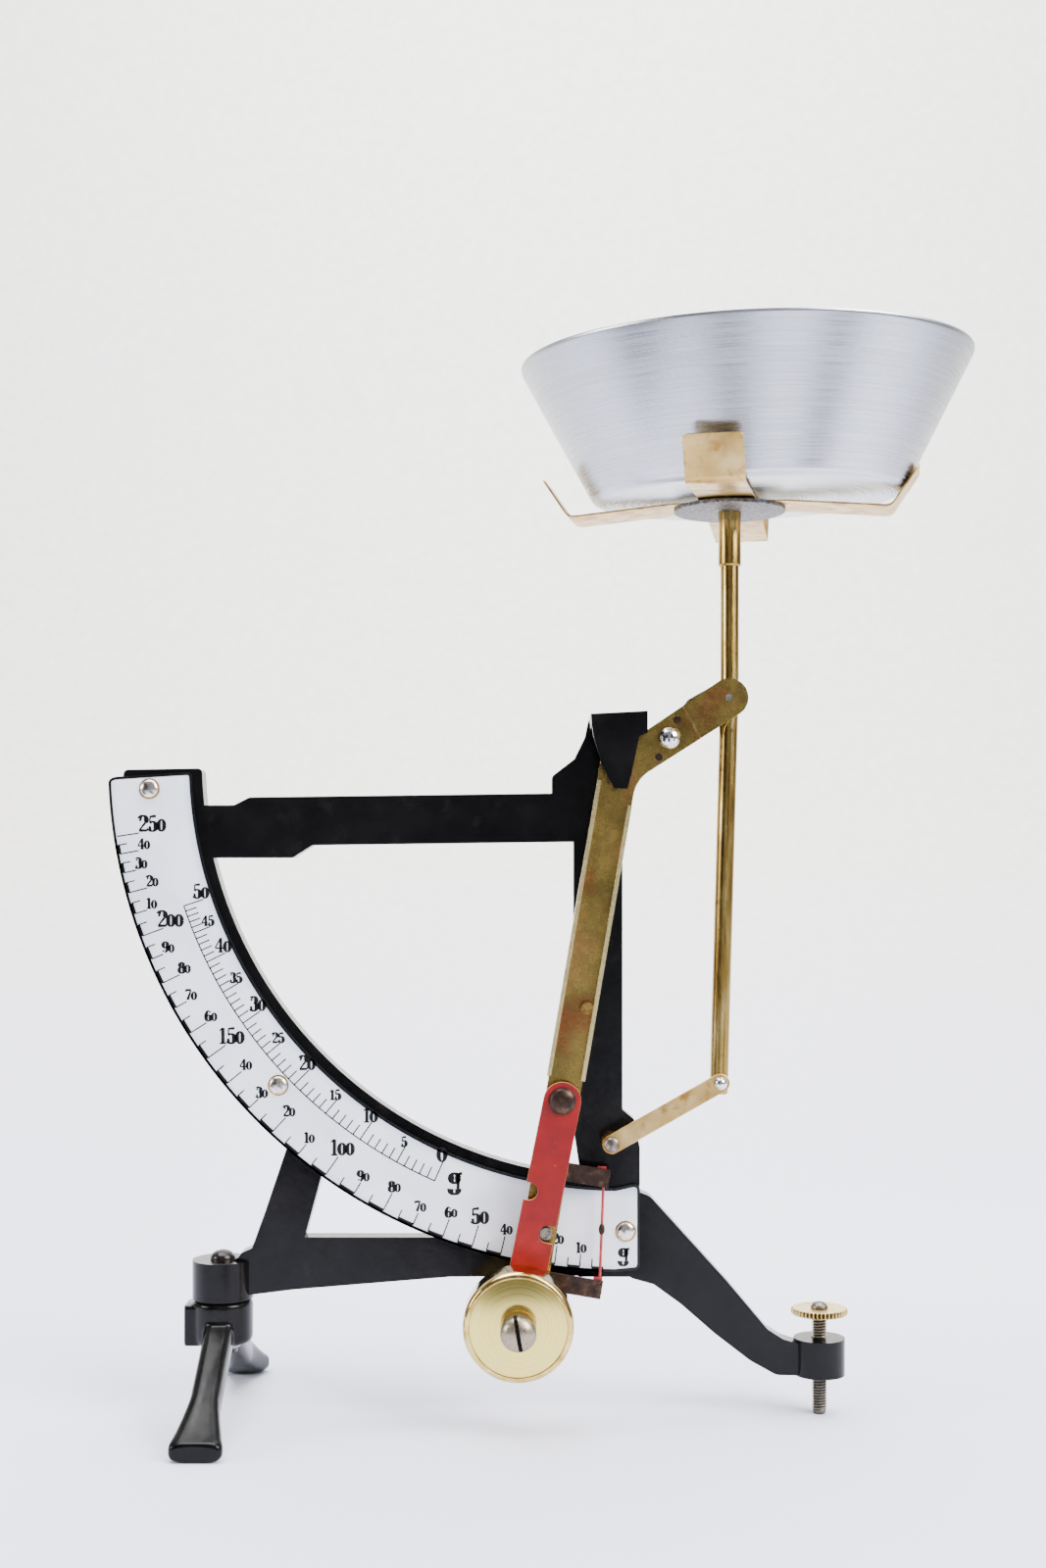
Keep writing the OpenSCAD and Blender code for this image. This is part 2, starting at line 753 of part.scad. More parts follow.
knob_screw_d = 4;
knob_d = 8.8;

module weight_rivet() {
    head_d = 6.8;
    color("#6b5138") at_pivot() {
        dome_front(weight_pivot, strip_front - slide_gap, head_d, 1.5);
        bar_y(weight_pivot, strip_front - slide_gap, slide_gap - strip_front, weight_rivet_d);
    }
}

// Washer that spaces the strip off the lever's web
module weight_washer() {
    color("#8a7048") at_pivot() difference() {
        bar_y(weight_pivot, strip_back + 0.1, web_front - strip_back - 0.1, 7);
        bar_y(weight_pivot, strip_back - 1, 5, weight_rivet_d + 2 * press_fit);
    }
}

module counterweight() {
    bevel = 0.6;
    p = on_strip(strip_l, 0);
    color("#d9c272") at_pivot() difference() {
        translate([p[0], strip_front, p[1]]) rotate([90, 0, 0]) rotate_extrude($fn = 128) polygon([
            [0, 0], [weight_d / 2 - bevel, 0], [weight_d / 2, bevel],
            [weight_d / 2, weight_t - bevel], [weight_d / 2 - bevel, weight_t], [0, weight_t]]);
        bar_y(p, weight_front - 1, weight_t + 2, knob_screw_d + 2 * press_fit);
    }
}

// Collar between the weight and the head of its screw
module weight_collar() {
    p = on_strip(strip_l, 0);
    color("#a5844a") at_pivot() difference() {
        bar_y(p, weight_front - 4, 4, knob_d - 0.2);
        bar_y(p, weight_front - 5, 6, knob_screw_d + 2 * press_fit);
    }
}

// Slotted screw with a high domed head: it holds the weight and is the knob that flips it
module weight_screw() {
    p = on_strip(strip_l, 0);
    head_y = weight_front - 4;
    head_h = 4.4;
    slot_w = 1;
    color("#9b958c") at_pivot() difference() {
        union() {
            bar_y(p, head_y - 1.6, 1.6, knob_d);
            dome_front(p, head_y - 1.6, knob_d, head_h - 1.6);
            bar_y(p, head_y, strip_back - head_y, knob_screw_d);
        }
        translate([p[0], head_y - head_h, p[1]]) rotate([0, -lever_lean, 0]) {
            cube([slot_w, 3, knob_d + 2], center = true);
        }
    }
}

// ---- rod and link ----

// Pin through the rod: its ends turn in the plates on each side
module rod_top_pin() {
    color("#8d8f92") at_pivot() {
        bar_y(rod_top, tip_front, rear_plate_y + rear_plate_t - tip_front, rod_pin_d);
    }
}

// Ball-headed pin that joins the rod to the lower link
module rod_bottom_pin() {
    color("#c9c9c6") at_pivot() {
        bar_y(rod_low, link_front - slide_gap, slide_gap - link_front, rod_pin_d);
        dome_front(rod_low, link_front - slide_gap, 3.4, 1.7);
    }
}

// Round bar between two points of the rod's plane
module rod_run(p, q, d) {
    run = q - p;
    translate([p[0], 0, p[1]]) rotate([0, 90 - atan2(run[1], run[0]), 0]) {
        cylinder(h = norm(run), d = d);
    }
}

// Solid shape of the rod at a diameter, bent a little at its upper pivot
module rod_shape(d, low, high) {
    bend = [rod_x, arm_rise + 3];
    end = rod_low - (bend - rod_low) / norm(bend - rod_low) * low;
    rod_run(end, bend, d);
    translate([bend[0], 0, bend[1]]) sphere(d = d);
    rod_run(bend, [rod_x, disc_z + high], d);
}

module bowl_rod() {
    color("#b98a3e") at_pivot() difference() {
        rod_shape(rod_d, 3, 0);
        rod_shape(rod_d - 2 * rod_wall, 1, 1);
        bar_y(rod_top, -far / 2, far, rod_pin_d + 2 * press_fit);
        bar_y(rod_low, -far / 2, far, rod_pin_d + 2 * press_fit);
    }
}

// Sleeve around the top of the rod
module rod_sleeve() {
    long = 13.6;
    color("#a98b45") at_pivot() translate([rod_x, 0, disc_z - long]) difference() {
        cylinder(h = long, d = 5.7);
        translate([0, 0, -1]) cylinder(h = long + 2, d = rod_d + 2 * press_fit);
    }
}

module carrier_disc() {
    color("#8f8b88") at_pivot() translate([rod_x, 0, disc_z]) difference() {
        cylinder(h = disc_t, d = disc_d);
        translate([0, 0, -1]) cylinder(h = 4, d = carrier_pin_d + 2 * press_fit);
    }
}

carrier_pin_d = 3;

// Underside of one half of a strip: flat over the disc, drooping to its bend, then up
spider_flat = disc_d / 2 + 0.3;
spider_drop = (spider_reach - spider_flat) * tan(spider_droop);
spider_path = [[0, 0], [spider_flat, 0], [spider_reach, -spider_drop],
    [spider_reach, -spider_drop] + polar(spider_tip, spider_slope)];

// Left-hand normal of a run between two points
function normal(p, q) = [p[1] - q[1], q[0] - p[0]] / norm(q - p);

// Corner of the sheet's upper side at a bend
function mitre(p, q, r, t) = let(m = normal(p, q), n = normal(q, r)) q + t * (m + n) / (1 + m * n);

// One strip with both ends bent up, lying with its underside at z = 0 over the disc
module spider_strip(turn) {
    under = [for (side = [-1, 1], i = [0 : 3])
        let(p = spider_path[side < 0 ? 3 - i : i]) if (p[0] > 0) [side * p[0], p[1]]];
    last = len(under) - 1;
    over = [for (i = [last : -1 : 0])
        i == 0 ? under[0] + spider_t * normal(under[0], under[1])
        : i == last ? under[last] + spider_t * normal(under[last - 1], under[last])
        : mitre(under[i - 1], under[i], under[i + 1], spider_t)];
    rotate([0, 0, turn]) difference() {
        rotate([90, 0, 0]) translate([0, 0, -spider_w / 2]) linear_extrude(spider_w) {
            polygon(concat(under, over));
        }
        translate([0, 0, -1]) cylinder(h = 4, d = carrier_pin_d + 2 * press_fit);
    }
}

module spider_lower() {
    color("#c9ad6b") at_pivot() translate([rod_x, 0, disc_z + disc_t]) spider_strip(spider_turn);
}

module spider_upper() {
    color("#cdb273") at_pivot() translate([rod_x, 0, disc_z + disc_t + spider_t]) {
        spider_strip(spider_turn + 90);
    }
}

// Pin pressed in the rod's end and peened over the strips
module spider_rivet() {
    color("#a98b45") at_pivot() translate([rod_x, 0, disc_z - 5]) {
        cylinder(h = 5 + strips_top - disc_z, d = carrier_pin_d);
    }
}

module lower_link() {
    color("#c8b070") at_pivot() difference() {
        plate(link_front, link_t) link_2d(stud, rod_low, link_w);
        bar_y(stud, link_front - 1, link_t + 2, stud_d + 2 * run_fit);
        bar_y(rod_low, link_front - 1, link_t + 2, rod_pin_d + 4 * run_fit);
    }
}

// Stud pressed into the frame: the lower link turns on it
module link_stud() {
    color("#c9a95c") at_pivot() {
        bar_y(stud, link_front - slide_gap, frame_front + stud_deep - link_front + slide_gap, stud_d);
        dome_front(stud, link_front - slide_gap, 3.8, 0.8);
    }
}

module link_spacer() {
    color("#a98b45") at_pivot() difference() {
        bar_y(stud, link_back + slide_gap, frame_front - link_back - slide_gap, 4.6);
        bar_y(stud, link_back - 1, frame_front - link_back + 2, stud_d + 2 * press_fit);
    }
}

// ---- bowl ----

// Half section of the bowl's wall and floor, from the axis outwards
module bowl_section() {
    base_r = bowl_base_d / 2;
    rim_r = bowl_d / 2;
    lip = 1.1;
    floor_r = base_r - 1.5;
    slope = (rim_r - base_r) / bowl_h;
    polygon([[0, 0], [floor_r, 0], [base_r, 1.2], [rim_r - lip * slope, bowl_h - lip],
        [rim_r, bowl_h - lip], [rim_r, bowl_h], [rim_r - bowl_wall - 0.4, bowl_h],
        [base_r - bowl_wall, 1.2 + bowl_wall], [floor_r - 0.4, bowl_wall], [0, bowl_wall]]);
}

// Stands the bowl where it rests: tilted, and off the rod's axis
module bowl_place() {
    at_pivot() translate([rod_x + bowl_shift, bowl_y, bowl_low - seat_drop]) {
        rotate([bowl_nod, -bowl_tilt, 0]) children();
    }
}

module bowl() {
    color("#b9bcc2") bowl_place() rotate_extrude($fn = 128) bowl_section();
}

// ---- foot ----

foot_hub_h = 11;
foot_x = pivot_x - foot_reach;
foot_top = hub_low - slide_gap;

module foot_rivet() {
    head_d = 6.4;
    head_h = 2.4;
    washer_t = 0.8;
    ball_r = (head_d * head_d / 4 + head_h * head_h) / (2 * head_h);
    low = foot_top - foot_hub_h - washer_t - 0.2;
    color("#2a2426") translate([foot_x, frame_y, 0]) {
        translate([0, 0, hub_top]) dome_up(head_d, head_h, ball_r);
        translate([0, 0, low]) cylinder(h = hub_top - low, d = foot_rivet_d);
        translate([0, 0, low - 1.4]) cylinder(h = 1.4, d = foot_rivet_d + 2.6);
    }
}

module foot_washer() {
    color("#55524f") translate([foot_x, frame_y, foot_top - foot_hub_h - 1]) difference() {
        cylinder(h = 0.8, d = 9);
        translate([0, 0, -1]) cylinder(h = 3, d = foot_rivet_d + 2 * run_fit);
    }
}

// Side view of one leg, running out along +x from the hub to its sole
module foot_leg_2d() {
    offset(r = -3, $fn = small_fn) offset(delta = 3) polygon([[0, foot_top - 3.6],
        [9, foot_top - 4.2], [18, foot_top - 8], [foot_spread - 6, 8], [foot_spread, 2.6],
        [foot_spread, 0], [foot_spread - 11, 0], [foot_spread - 12.5, 3.4], [16, foot_top - 15],
        [8, foot_top - 11], [0, foot_top - foot_hub_h + 0.4]]);
}

// Flared pad at the end of a leg
module foot_sole() {
    pad = 10.6;
    translate([foot_spread - pad, 0, 0]) rotate([90, 0, 90]) linear_extrude(pad) {
        polygon([[-sole_w / 2, 0], [sole_w / 2, 0], [sole_w / 2, 2.4], [foot_w / 2, 7],
            [-foot_w / 2, 7], [-sole_w / 2, 2.4]]);
    }
}

// One leg with its sole cut to the slope of the leg's top
module foot_leg() {
    translate([0, foot_w / 2, 0]) rotate([90, 0, 0]) linear_extrude(foot_w) foot_leg_2d();
    foot_sole();
}

module folding_foot() {
    lug = [4.6, 9, 10.4];
    color("#1b1a1c") translate([foot_x, frame_y, 0]) difference() {
        union() {
            translate([0, 0, foot_top - foot_hub_h]) cylinder(h = foot_hub_h, d = hub_d);
            rotate([0, 0, 90]) foot_leg();
            rotate([0, 0, -90]) foot_leg();
            translate([-hub_d / 2 - 1.6, -lug[1] / 2, foot_top - lug[2] - 1]) cube(lug);
        }
        translate([0, 0, -1]) cylinder(h = far, d = foot_rivet_d + 2 * run_fit);
        translate([0, 0, -1]) cylinder(h = foot_top - foot_hub_h + 1, d = foot_rivet_d + 6);
    }
}

// ---- levelling screw ----

screw_x = pivot_x + screw_reach;
wheel_z = boss_z + boss_h + wheel_gap;

module leveling_screw() {
    tip = 1.2;
    head_h = 1.6;
    color("#6a6762") translate([screw_x, frame_y, 0]) {
        rotate_extrude($fn = small_fn) polygon([[0, 0], [screw_d / 2 - tip / 2, 0],
            [screw_d / 2, tip], [screw_d / 2, wheel_z], [0, wheel_z]]);
        translate([0, 0, wheel_z]) cylinder(h = wheel_t, d = 3, $fn = small_fn);
        translate([0, 0, wheel_z + wheel_t]) dome_up(4.4, head_h, 2.4);
    }
}

// Wheel with a fine knurl around its edge
module knurled_wheel() {
    teeth = 48;
    depth = 0.4;
    color("#c8a04e") translate([screw_x, frame_y, wheel_z]) difference() {
        linear_extrude(wheel_t) polygon([for (i = [0 : 2 * teeth - 1])
            polar(wheel_d / 2 - (i % 2) * depth, i * 180 / teeth)]);
        translate([0, 0, -1]) cylinder(h = wheel_t + 2, d = 3 + 2 * run_fit, $fn = small_fn);
    }
}

frame_casting();
dial_plate();
dial_rivets();
rear_bush();
front_bush();
pivot_axle();
pivot_collar();
lever_channel();
lever_rear_plate();
lever_rivets();
trim_ball();
upper_stop_pin();
lower_stop_pin();
pointer_frame();
pointer_rivets();
pointer_needle();
reading_bead();
weight_strip();
weight_rivet();
weight_washer();
counterweight();
weight_collar();
weight_screw();
rod_top_pin();
rod_bottom_pin();
bowl_rod();
rod_sleeve();
carrier_disc();
spider_lower();
spider_upper();
spider_rivet();
lower_link();
link_stud();
link_spacer();
bowl();
foot_rivet();
foot_washer();
folding_foot();
leveling_screw();
knurled_wheel();
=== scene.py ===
import json
import math

import bmesh
import bpy
import numpy as np
from bpy.props import FloatProperty, FloatVectorProperty, PointerProperty
from mathutils import Matrix, Vector

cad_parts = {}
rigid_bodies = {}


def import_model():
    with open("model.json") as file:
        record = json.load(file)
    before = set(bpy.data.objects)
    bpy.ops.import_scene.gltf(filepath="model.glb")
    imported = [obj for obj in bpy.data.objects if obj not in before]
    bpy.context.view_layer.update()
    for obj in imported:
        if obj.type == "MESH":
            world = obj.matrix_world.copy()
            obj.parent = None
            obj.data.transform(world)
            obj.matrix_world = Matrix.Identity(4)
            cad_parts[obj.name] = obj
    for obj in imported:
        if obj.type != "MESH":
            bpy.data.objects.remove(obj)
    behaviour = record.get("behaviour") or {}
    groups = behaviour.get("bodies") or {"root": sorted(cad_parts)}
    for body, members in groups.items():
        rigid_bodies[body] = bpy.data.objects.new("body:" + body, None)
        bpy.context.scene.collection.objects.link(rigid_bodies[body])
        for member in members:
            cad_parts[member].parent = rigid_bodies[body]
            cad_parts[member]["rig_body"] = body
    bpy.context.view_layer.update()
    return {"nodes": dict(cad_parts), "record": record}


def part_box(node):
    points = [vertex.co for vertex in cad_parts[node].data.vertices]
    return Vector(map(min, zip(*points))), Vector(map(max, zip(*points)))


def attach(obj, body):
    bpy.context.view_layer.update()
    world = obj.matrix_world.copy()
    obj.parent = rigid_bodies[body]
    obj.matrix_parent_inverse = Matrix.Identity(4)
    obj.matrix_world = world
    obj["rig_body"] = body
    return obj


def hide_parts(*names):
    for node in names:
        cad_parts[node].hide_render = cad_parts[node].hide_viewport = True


bl_info = {"name": "Pendulum Letter Scale", "version": (1, 0, 0), "blender": (4, 5, 0),
    "location": "View3D > Sidebar > Letter Scale",
    "description": "Surfaces, scale markings and finishes of a two-range pendulum letter scale",
    "category": "Add Mesh"}

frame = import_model()
NODES = frame["nodes"]
MM = 0.001
TURN = 2 * math.pi


def centre(node):
    """Middle of a CAD node's box, in metres."""
    low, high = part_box(node)
    return np.array((low + high) / 2)


def measured(node):
    """Low and high corners of a CAD node's box, and its middle."""
    low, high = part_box(node)
    return low, high, centre(node)


PIVOT = centre("pivot_axle")
FRONT, UP = (0, -1, 0), (0, 0, 1)
BOWL_SEAT = next(m for m in frame["record"]["mounts"] if m["name"] == "bowl_floor")


# ---- colours and materials ----


def linear(code):
    """Linear colour with alpha from an sRGB hex value. Anything else is left as it is."""
    if not isinstance(code, str):
        return code
    parts = np.array([int(code[i : i + 2], 16) for i in (1, 3, 5)]) / 255
    low, high = parts / 12.92, ((parts + 0.055) / 1.055) ** 2.4
    return (*np.where(parts <= 0.04045, low, high).tolist(), 1.0)


def add(tree, kind, inputs=None, stops=None, **settings):
    """Adds a shader node, sets its settings and ramp stops, and sets or links its inputs."""
    node = tree.nodes.new("ShaderNode" + kind)
    for key, value in settings.items():
        setattr(node, key, value)
    if stops:
        ramp = node.color_ramp
        while len(ramp.elements) < len(stops):
            ramp.elements.new(0.5)
        for element, (place, colour) in zip(ramp.elements, stops):
            element.position = place
            element.color = linear(colour)
    for key, value in (inputs or {}).items():
        if isinstance(value, bpy.types.NodeSocket):
            tree.links.new(value, node.inputs[key])
        else:
            node.inputs[key].default_value = linear(value)
    return node


def new_material(name):
    """Empty node material, with its tree."""
    material = bpy.data.materials.new(name)
    material.use_nodes = True
    material.node_tree.nodes.clear()
    return material, material.node_tree


def shaded(material, inputs):
    """Ends a material in a Principled surface, and gives the material back."""
    tree = material.node_tree
    shader = add(tree, "BsdfPrincipled", inputs)
    add(tree, "OutputMaterial", {"Surface": shader.outputs[0]})
    return material


def noise(tree, vector, size_mm, detail=4.0, rough=0.55, stretch=None, shift=(0, 0, 0)):
    """Noise whose features are about size_mm across; stretch scales each direction."""
    inputs = {"Vector": vector, "Scale": stretch or (1, 1, 1), "Location": shift}
    inputs = {"Vector": add(tree, "Mapping", inputs).outputs["Vector"]}
    inputs.update({"Scale": 1 / (size_mm * MM), "Detail": detail, "Roughness": rough})
    return add(tree, "TexNoise", inputs).outputs["Fac"]


def laid_over(tree, colour, tint, mask, start, end, strength=1.0):
    """Colour with a tint laid over it as a mask goes from start to end."""
    share = add(tree, "MapRange", {0: mask, 1: start, 2: end, 4: strength}).outputs[0]
    return add(tree, "Mix", {0: share, 6: colour, 7: tint}, data_type="RGBA").outputs[2]


def spread(tree, mask, low, high):
    """Roughness that goes from low to high with a noise."""
    return add(tree, "MapRange", {0: mask, 1: 0.3, 2: 0.7, 3: low, 4: high}).outputs[0]


def squareness(tree):
    """How squarely the surface faces along y, from 0 to 1."""
    normal = add(tree, "NewGeometry").outputs["Normal"]
    along = add(tree, "SeparateXYZ", {"Vector": normal}).outputs["Y"]
    return add(tree, "Math", {0: along}, operation="ABSOLUTE").outputs[0]


def finish(name, tones, tone_mm, rough, rough_mm=3.0, spots=(), bumps=(), rim=None, highlight_band=None,
        stretch=None, space="Object", grooves=False, **shader):
    """Metal, paint or enamel built from measured layers.

    tones: ramp stops of (place, colour) over noise tone_mm across.
    spots: (colour, size in mm, from, to, strength), each laid over by a noise threshold.
    bumps: (size in mm, depth in mm, stretch).
    rim: (colour, strength, from, to) for the bent and cut edges of sheet that lies square to y:
    a painted highlight on the lever, and the bare brass edge under the red paint.
    highlight_band: (colour, from, to), a painted highlight on edges between two depths in mm along
    y.
    grooves: the highlight is drawn out across lines that run round the piece's own UV map.
    """
    material, tree = new_material(name)
    vector = add(tree, "TexCoord").outputs[space]
    fac = noise(tree, vector, tone_mm, 3.0, 0.45, stretch)
    colour = add(tree, "ValToRGB", {"Fac": fac}, stops=tones).outputs["Color"]
    for step, (tint, size, start, end, strength) in enumerate(spots):
        mask = noise(tree, vector, size, 3.0, 0.5, shift=(0.013 * (step + 1), 0.007, 0.003))
        colour = laid_over(tree, colour, tint, mask, start, end, strength)
    # Painted highlight: a pale band between two depths along y
    if highlight_band:
        tint, near, far = highlight_band
        depth = add(tree, "SeparateXYZ", {"Vector": vector}).outputs["Y"]
        start = add(tree, "MapRange", {0: depth, 1: near * MM, 2: (near + 0.1) * MM}).outputs[0]
        end = add(tree, "MapRange", {0: depth, 1: far * MM, 2: (far - 0.1) * MM}).outputs[0]
        band = add(tree, "Math", {0: start, 1: end}, operation="MULTIPLY").outputs[0]
        colour = add(tree, "Mix", {0: band, 6: colour, 7: tint}, data_type="RGBA").outputs[2]
    # Edges turned away from y take the rim colour: a painted highlight on the lever, the bare brass
    # under the red paint
    if rim:
        colour = laid_over(tree, colour, rim[0], squareness(tree), rim[2], rim[3], rim[1])
    mask = noise(tree, vector, rough_mm, 6.0, 0.65, stretch, (0.05, 0.02, 0.01))
    inputs = {"Base Color": colour, "Roughness": spread(tree, mask, *rough)}
    for size, depth, pull in bumps:
        height = noise(tree, vector, size, 3.0, 0.5, pull, (0.031, 0.017, 0.009))
        bump = {"Height": height, "Strength": 1.0, "Distance": depth * MM}
        if "Normal" in inputs:
            bump["Normal"] = inputs["Normal"]
        inputs["Normal"] = add(tree, "Bump", bump).outputs["Normal"]
    if grooves:
        inputs["Tangent"] = add(tree, "Tangent", direction_type="UV_MAP").outputs[0]
    inputs.update({key.replace("_", " "): value for key, value in shader.items()})
    return shaded(material, inputs)


def make_materials(looks):
    """All finishes, by name."""
    black = (*looks.black_enamel, 1)
    red = (*looks.red_paint, 1)
    brass = (*looks.lever_brass, 1)
    rod = (*looks.rod_brass, 1)
    pale = (*looks.pale_brass, 1)
    alu = (*looks.aluminium, 1)
    rings = (0.0, 1.0, 0.0)
    m = {}
    # Stove enamel on rough castings: deep black gloss, a soft orange peel, dust and pin specks
    m["black_enamel"] = finish("black_stove_enamel",
        [(0.35, "#050506"), (0.6, black), (0.8, "#111011")], 9.0, (0.12, 0.26), 2.5,
        spots=[("#3c3834", 0.5, 0.73, 0.78, 0.6), ("#1a1715", 6.0, 0.6, 0.75, 0.5)],
        bumps=[(2.6, 0.014, None), (0.7, 0.004, None), (8.0, 0.07, None)], Specular_IOR_Level=0.16)
    # Drawn and domed steel under the same enamel, worn brown on top
    m["black_rivet"] = finish("worn_black_steel", [(0.3, "#120f0f"), (0.7, "#2b2322")], 1.5,
        (0.2, 0.4), spots=[("#5c4a3c", 0.7, 0.62, 0.72, 0.6)], bumps=[(0.8, 0.02, None)],
        Metallic=0.4)
    # Nickel-plated brass heads: pearly, a little pink, with a soft polish
    m["nickel"] = finish("nickel_plate", [(0.3, "#c9beb8"), (0.7, "#e6dfda")], 1.2, (0.16, 0.3),
        0.8, spots=[("#b59a72", 0.9, 0.62, 0.76, 0.5)], bumps=[(0.5, 0.004, None)], Metallic=1.0)
    # Turned and reamed brass bushes and spacers, darkened with handling
    m["bush_brass"] = finish("turned_bush_brass", [(0.3, "#8a6a34"), (0.7, "#c6a05a")], 1.0,
        (0.22, 0.4), spots=[("#4c3a22", 1.2, 0.6, 0.72, 0.6)], bumps=[(0.4, 0.006, None)],
        Metallic=1.0)
    # Brass sheet whose lacquer has gone: brown, olive and pink tarnish, with a painted highlight on
    # the bent edges and on a band at one depth
    m["lever_brass"] = finish("tarnished_brass_painted_highlights", [(0.28, "#766839"), (0.42, "#8f7941"),
        (0.54, brass), (0.66, "#ad8450"), (0.78, "#c4a768")], 14.0, (0.2, 0.34), 2.0,
        spots=[("#66622f", 16.0, 0.5, 0.72, 0.6), ("#8f4f33", 12.0, 0.52, 0.72, 0.7),
        ("#3a2e1c", 0.7, 0.71, 0.76, 0.75)],
        bumps=[(0.35, 0.002, (1, 1, 0.25)), (2.5, 0.004, None)], rim=("#f3e3b0", 0.95, 0.985, 0.8),
        highlight_band=("#e9d596", -3.25, -2.7), Metallic=0.95)
    # Bronzed brass strip: dark brown oxide, rubbed a little on its high spots
    m["bronze"] = finish("bronzed_brass", [(0.3, "#241a16"), (0.55, "#3a2a24"), (0.75, "#5c4630")],
        2.2, (0.3, 0.5), spots=[("#84683c", 0.8, 0.66, 0.75, 0.6)], bumps=[(0.5, 0.008, None)],
        Metallic=0.8)
    # Bearing-steel ball and ball-headed pins: mirror polish with hair scratches
    m["ball_steel"] = finish("polished_bearing_steel", [(0.3, "#c9cacc"), (0.7, "#eceded")], 2.0,
        (0.05, 0.16), 0.6, spots=[("#8f8377", 0.8, 0.7, 0.78, 0.5)], bumps=[(0.3, 0.001, None)],
        Metallic=1.0)
    # Brush-painted red lacquer on brass: flat and waxy, chipped to the metal on its edges
    m["red_paint"] = finish("worn_red_paint", [(0.3, "#6a0509"), (0.55, red), (0.8, "#960c11")],
        7.0, (0.34, 0.5), 2.0, spots=[("#6b1a1c", 1.6, 0.64, 0.72, 0.65),
        ("#e0b8a8", 0.5, 0.76, 0.775, 0.7)], bumps=[(0.9, 0.012, None), (4.0, 0.03, None)],
        rim=("#c9a257", 0.8, 0.75, 0.45), Specular_IOR_Level=0.35)
    # The same lacquer on thin wire, which has kept its paint
    m["red_wire"] = finish("red_painted_wire", [(0.3, "#8d1c22"), (0.7, "#b8282d")], 2.0,
        (0.35, 0.5), spots=[("#4a1517", 0.9, 0.62, 0.7, 0.7)], bumps=[(0.4, 0.006, None)])
    # Faced and polished in the lathe: a pale yellow mirror with fine rings
    m["turned_face"] = finish("faced_pale_brass", [(0.3, "#dcc768"), (0.7, "#e9d77c")], 0.5,
        (0.1, 0.17), 0.3, spots=[("#b7a46a", 6.0, 0.62, 0.8, 0.25)], bumps=[(0.18, 0.0005, rings)],
        stretch=rings, space="UV", grooves=True, Metallic=0.95, Anisotropic=0.1)
    # Polished brass with a golden glint and a dark mirror of the room
    m["polished_brass"] = finish("polished_brass", [(0.3, "#b39047"), (0.7, "#e6cd84")], 3.0,
        (0.09, 0.2), 0.9, spots=[("#6f5a34", 1.4, 0.66, 0.76, 0.5)], bumps=[(0.25, 0.0015, None)],
        Metallic=1.0)
    # Oxidised steel screw: grey-brown bloom over worn polish
    m["oxide_steel"] = finish("oxidised_steel",
        [(0.32, "#4a4139"), (0.5, "#756c62"), (0.72, "#a39b90")], 1.6, (0.22, 0.5), 0.8,
        spots=[("#6a4b33", 1.1, 0.6, 0.7, 0.6), ("#322a26", 0.5, 0.68, 0.74, 0.7)],
        bumps=[(0.35, 0.008, None)], Metallic=0.95)
    # Drawn brass tube under old lacquer: red-brown in the shade, pale gold in the light
    m["rod_brass"] = finish("lacquered_brass_tube",
        [(0.3, "#8a6c36"), (0.5, rod), (0.75, "#cdb878")], 2.2, (0.16, 0.3), 1.0,
        spots=[("#5c3a22", 2.4, 0.62, 0.74, 0.6), ("#e9d6a0", 0.6, 0.7, 0.76, 0.5)],
        bumps=[(0.25, 0.003, (1, 1, 0.05)), (3.0, 0.02, (1, 1, 0.4))], stretch=(1, 1, 0.12),
        Metallic=1.0)
    # Rolled brass strip, pale and satin, with brown tide marks
    m["strip_brass"] = finish("rolled_pale_brass",
        [(0.3, "#b3904f"), (0.55, pale), (0.78, "#dcc48a")], 6.0, (0.28, 0.44), 2.0,
        spots=[("#96642a", 5.0, 0.52, 0.64, 0.75), ("#5a3c22", 1.0, 0.68, 0.74, 0.7)],
        bumps=[(0.3, 0.004, (0.15, 1, 1)), (1.8, 0.01, None)], Metallic=0.95)
    # Cold-rolled steel blank with grey scale and small pits
    m["grey_steel"] = finish("scaled_grey_steel",
        [(0.3, "#3b3735"), (0.5, "#5a5653"), (0.72, "#85817d")], 0.9, (0.42, 0.62), 0.7,
        spots=[("#1f1c1b", 0.6, 0.58, 0.68, 0.8)], bumps=[(0.45, 0.012, None)], Metallic=0.6)
    # Plain drawn steel pins and washers
    m["drawn_steel"] = finish("drawn_steel", [(0.3, "#77777a"), (0.7, "#adadb0")], 0.8, (0.22, 0.4),
        spots=[("#5b4a3c", 0.8, 0.64, 0.72, 0.5)], bumps=[(0.3, 0.004, None)], Metallic=1.0)
    # Spun sheet aluminium, brushed round in the lathe: fine lines, drawn 0.2 to 0.7 mm wide to show
    m["aluminium"] = finish("spun_brushed_aluminium",
        [(0.3, "#b4b7ba"), (0.5, alu), (0.7, "#c6c9cc")], 0.45, (0.2, 0.34), 0.35,
        spots=[("#d8c9c2", 14.0, 0.6, 0.8, 0.3)], bumps=[(0.22, 0.0006, (0.0004, 1, 0)),
        (0.7, 0.0006, (0.0002, 1, 0))], stretch=(0.0002, 1.0, 0.0), space="UV", grooves=True,
        Metallic=1.0, Anisotropic=0.82)
    m["dial_enamel"] = dial_enamel(looks)
    # Cut steel thread: bright crests, and its roots painted black as shade
    m["thread_steel"] = grooved("cut_steel_thread", "#0e0c0b", "#b9b2a6", (0.25, 0.4))
    # Worn steel head of the knob, with its slot painted black as shade
    m["slotted_steel"] = grooved("slotted_steel", "#0c0a09", "#988a78", (0.22, 0.45))
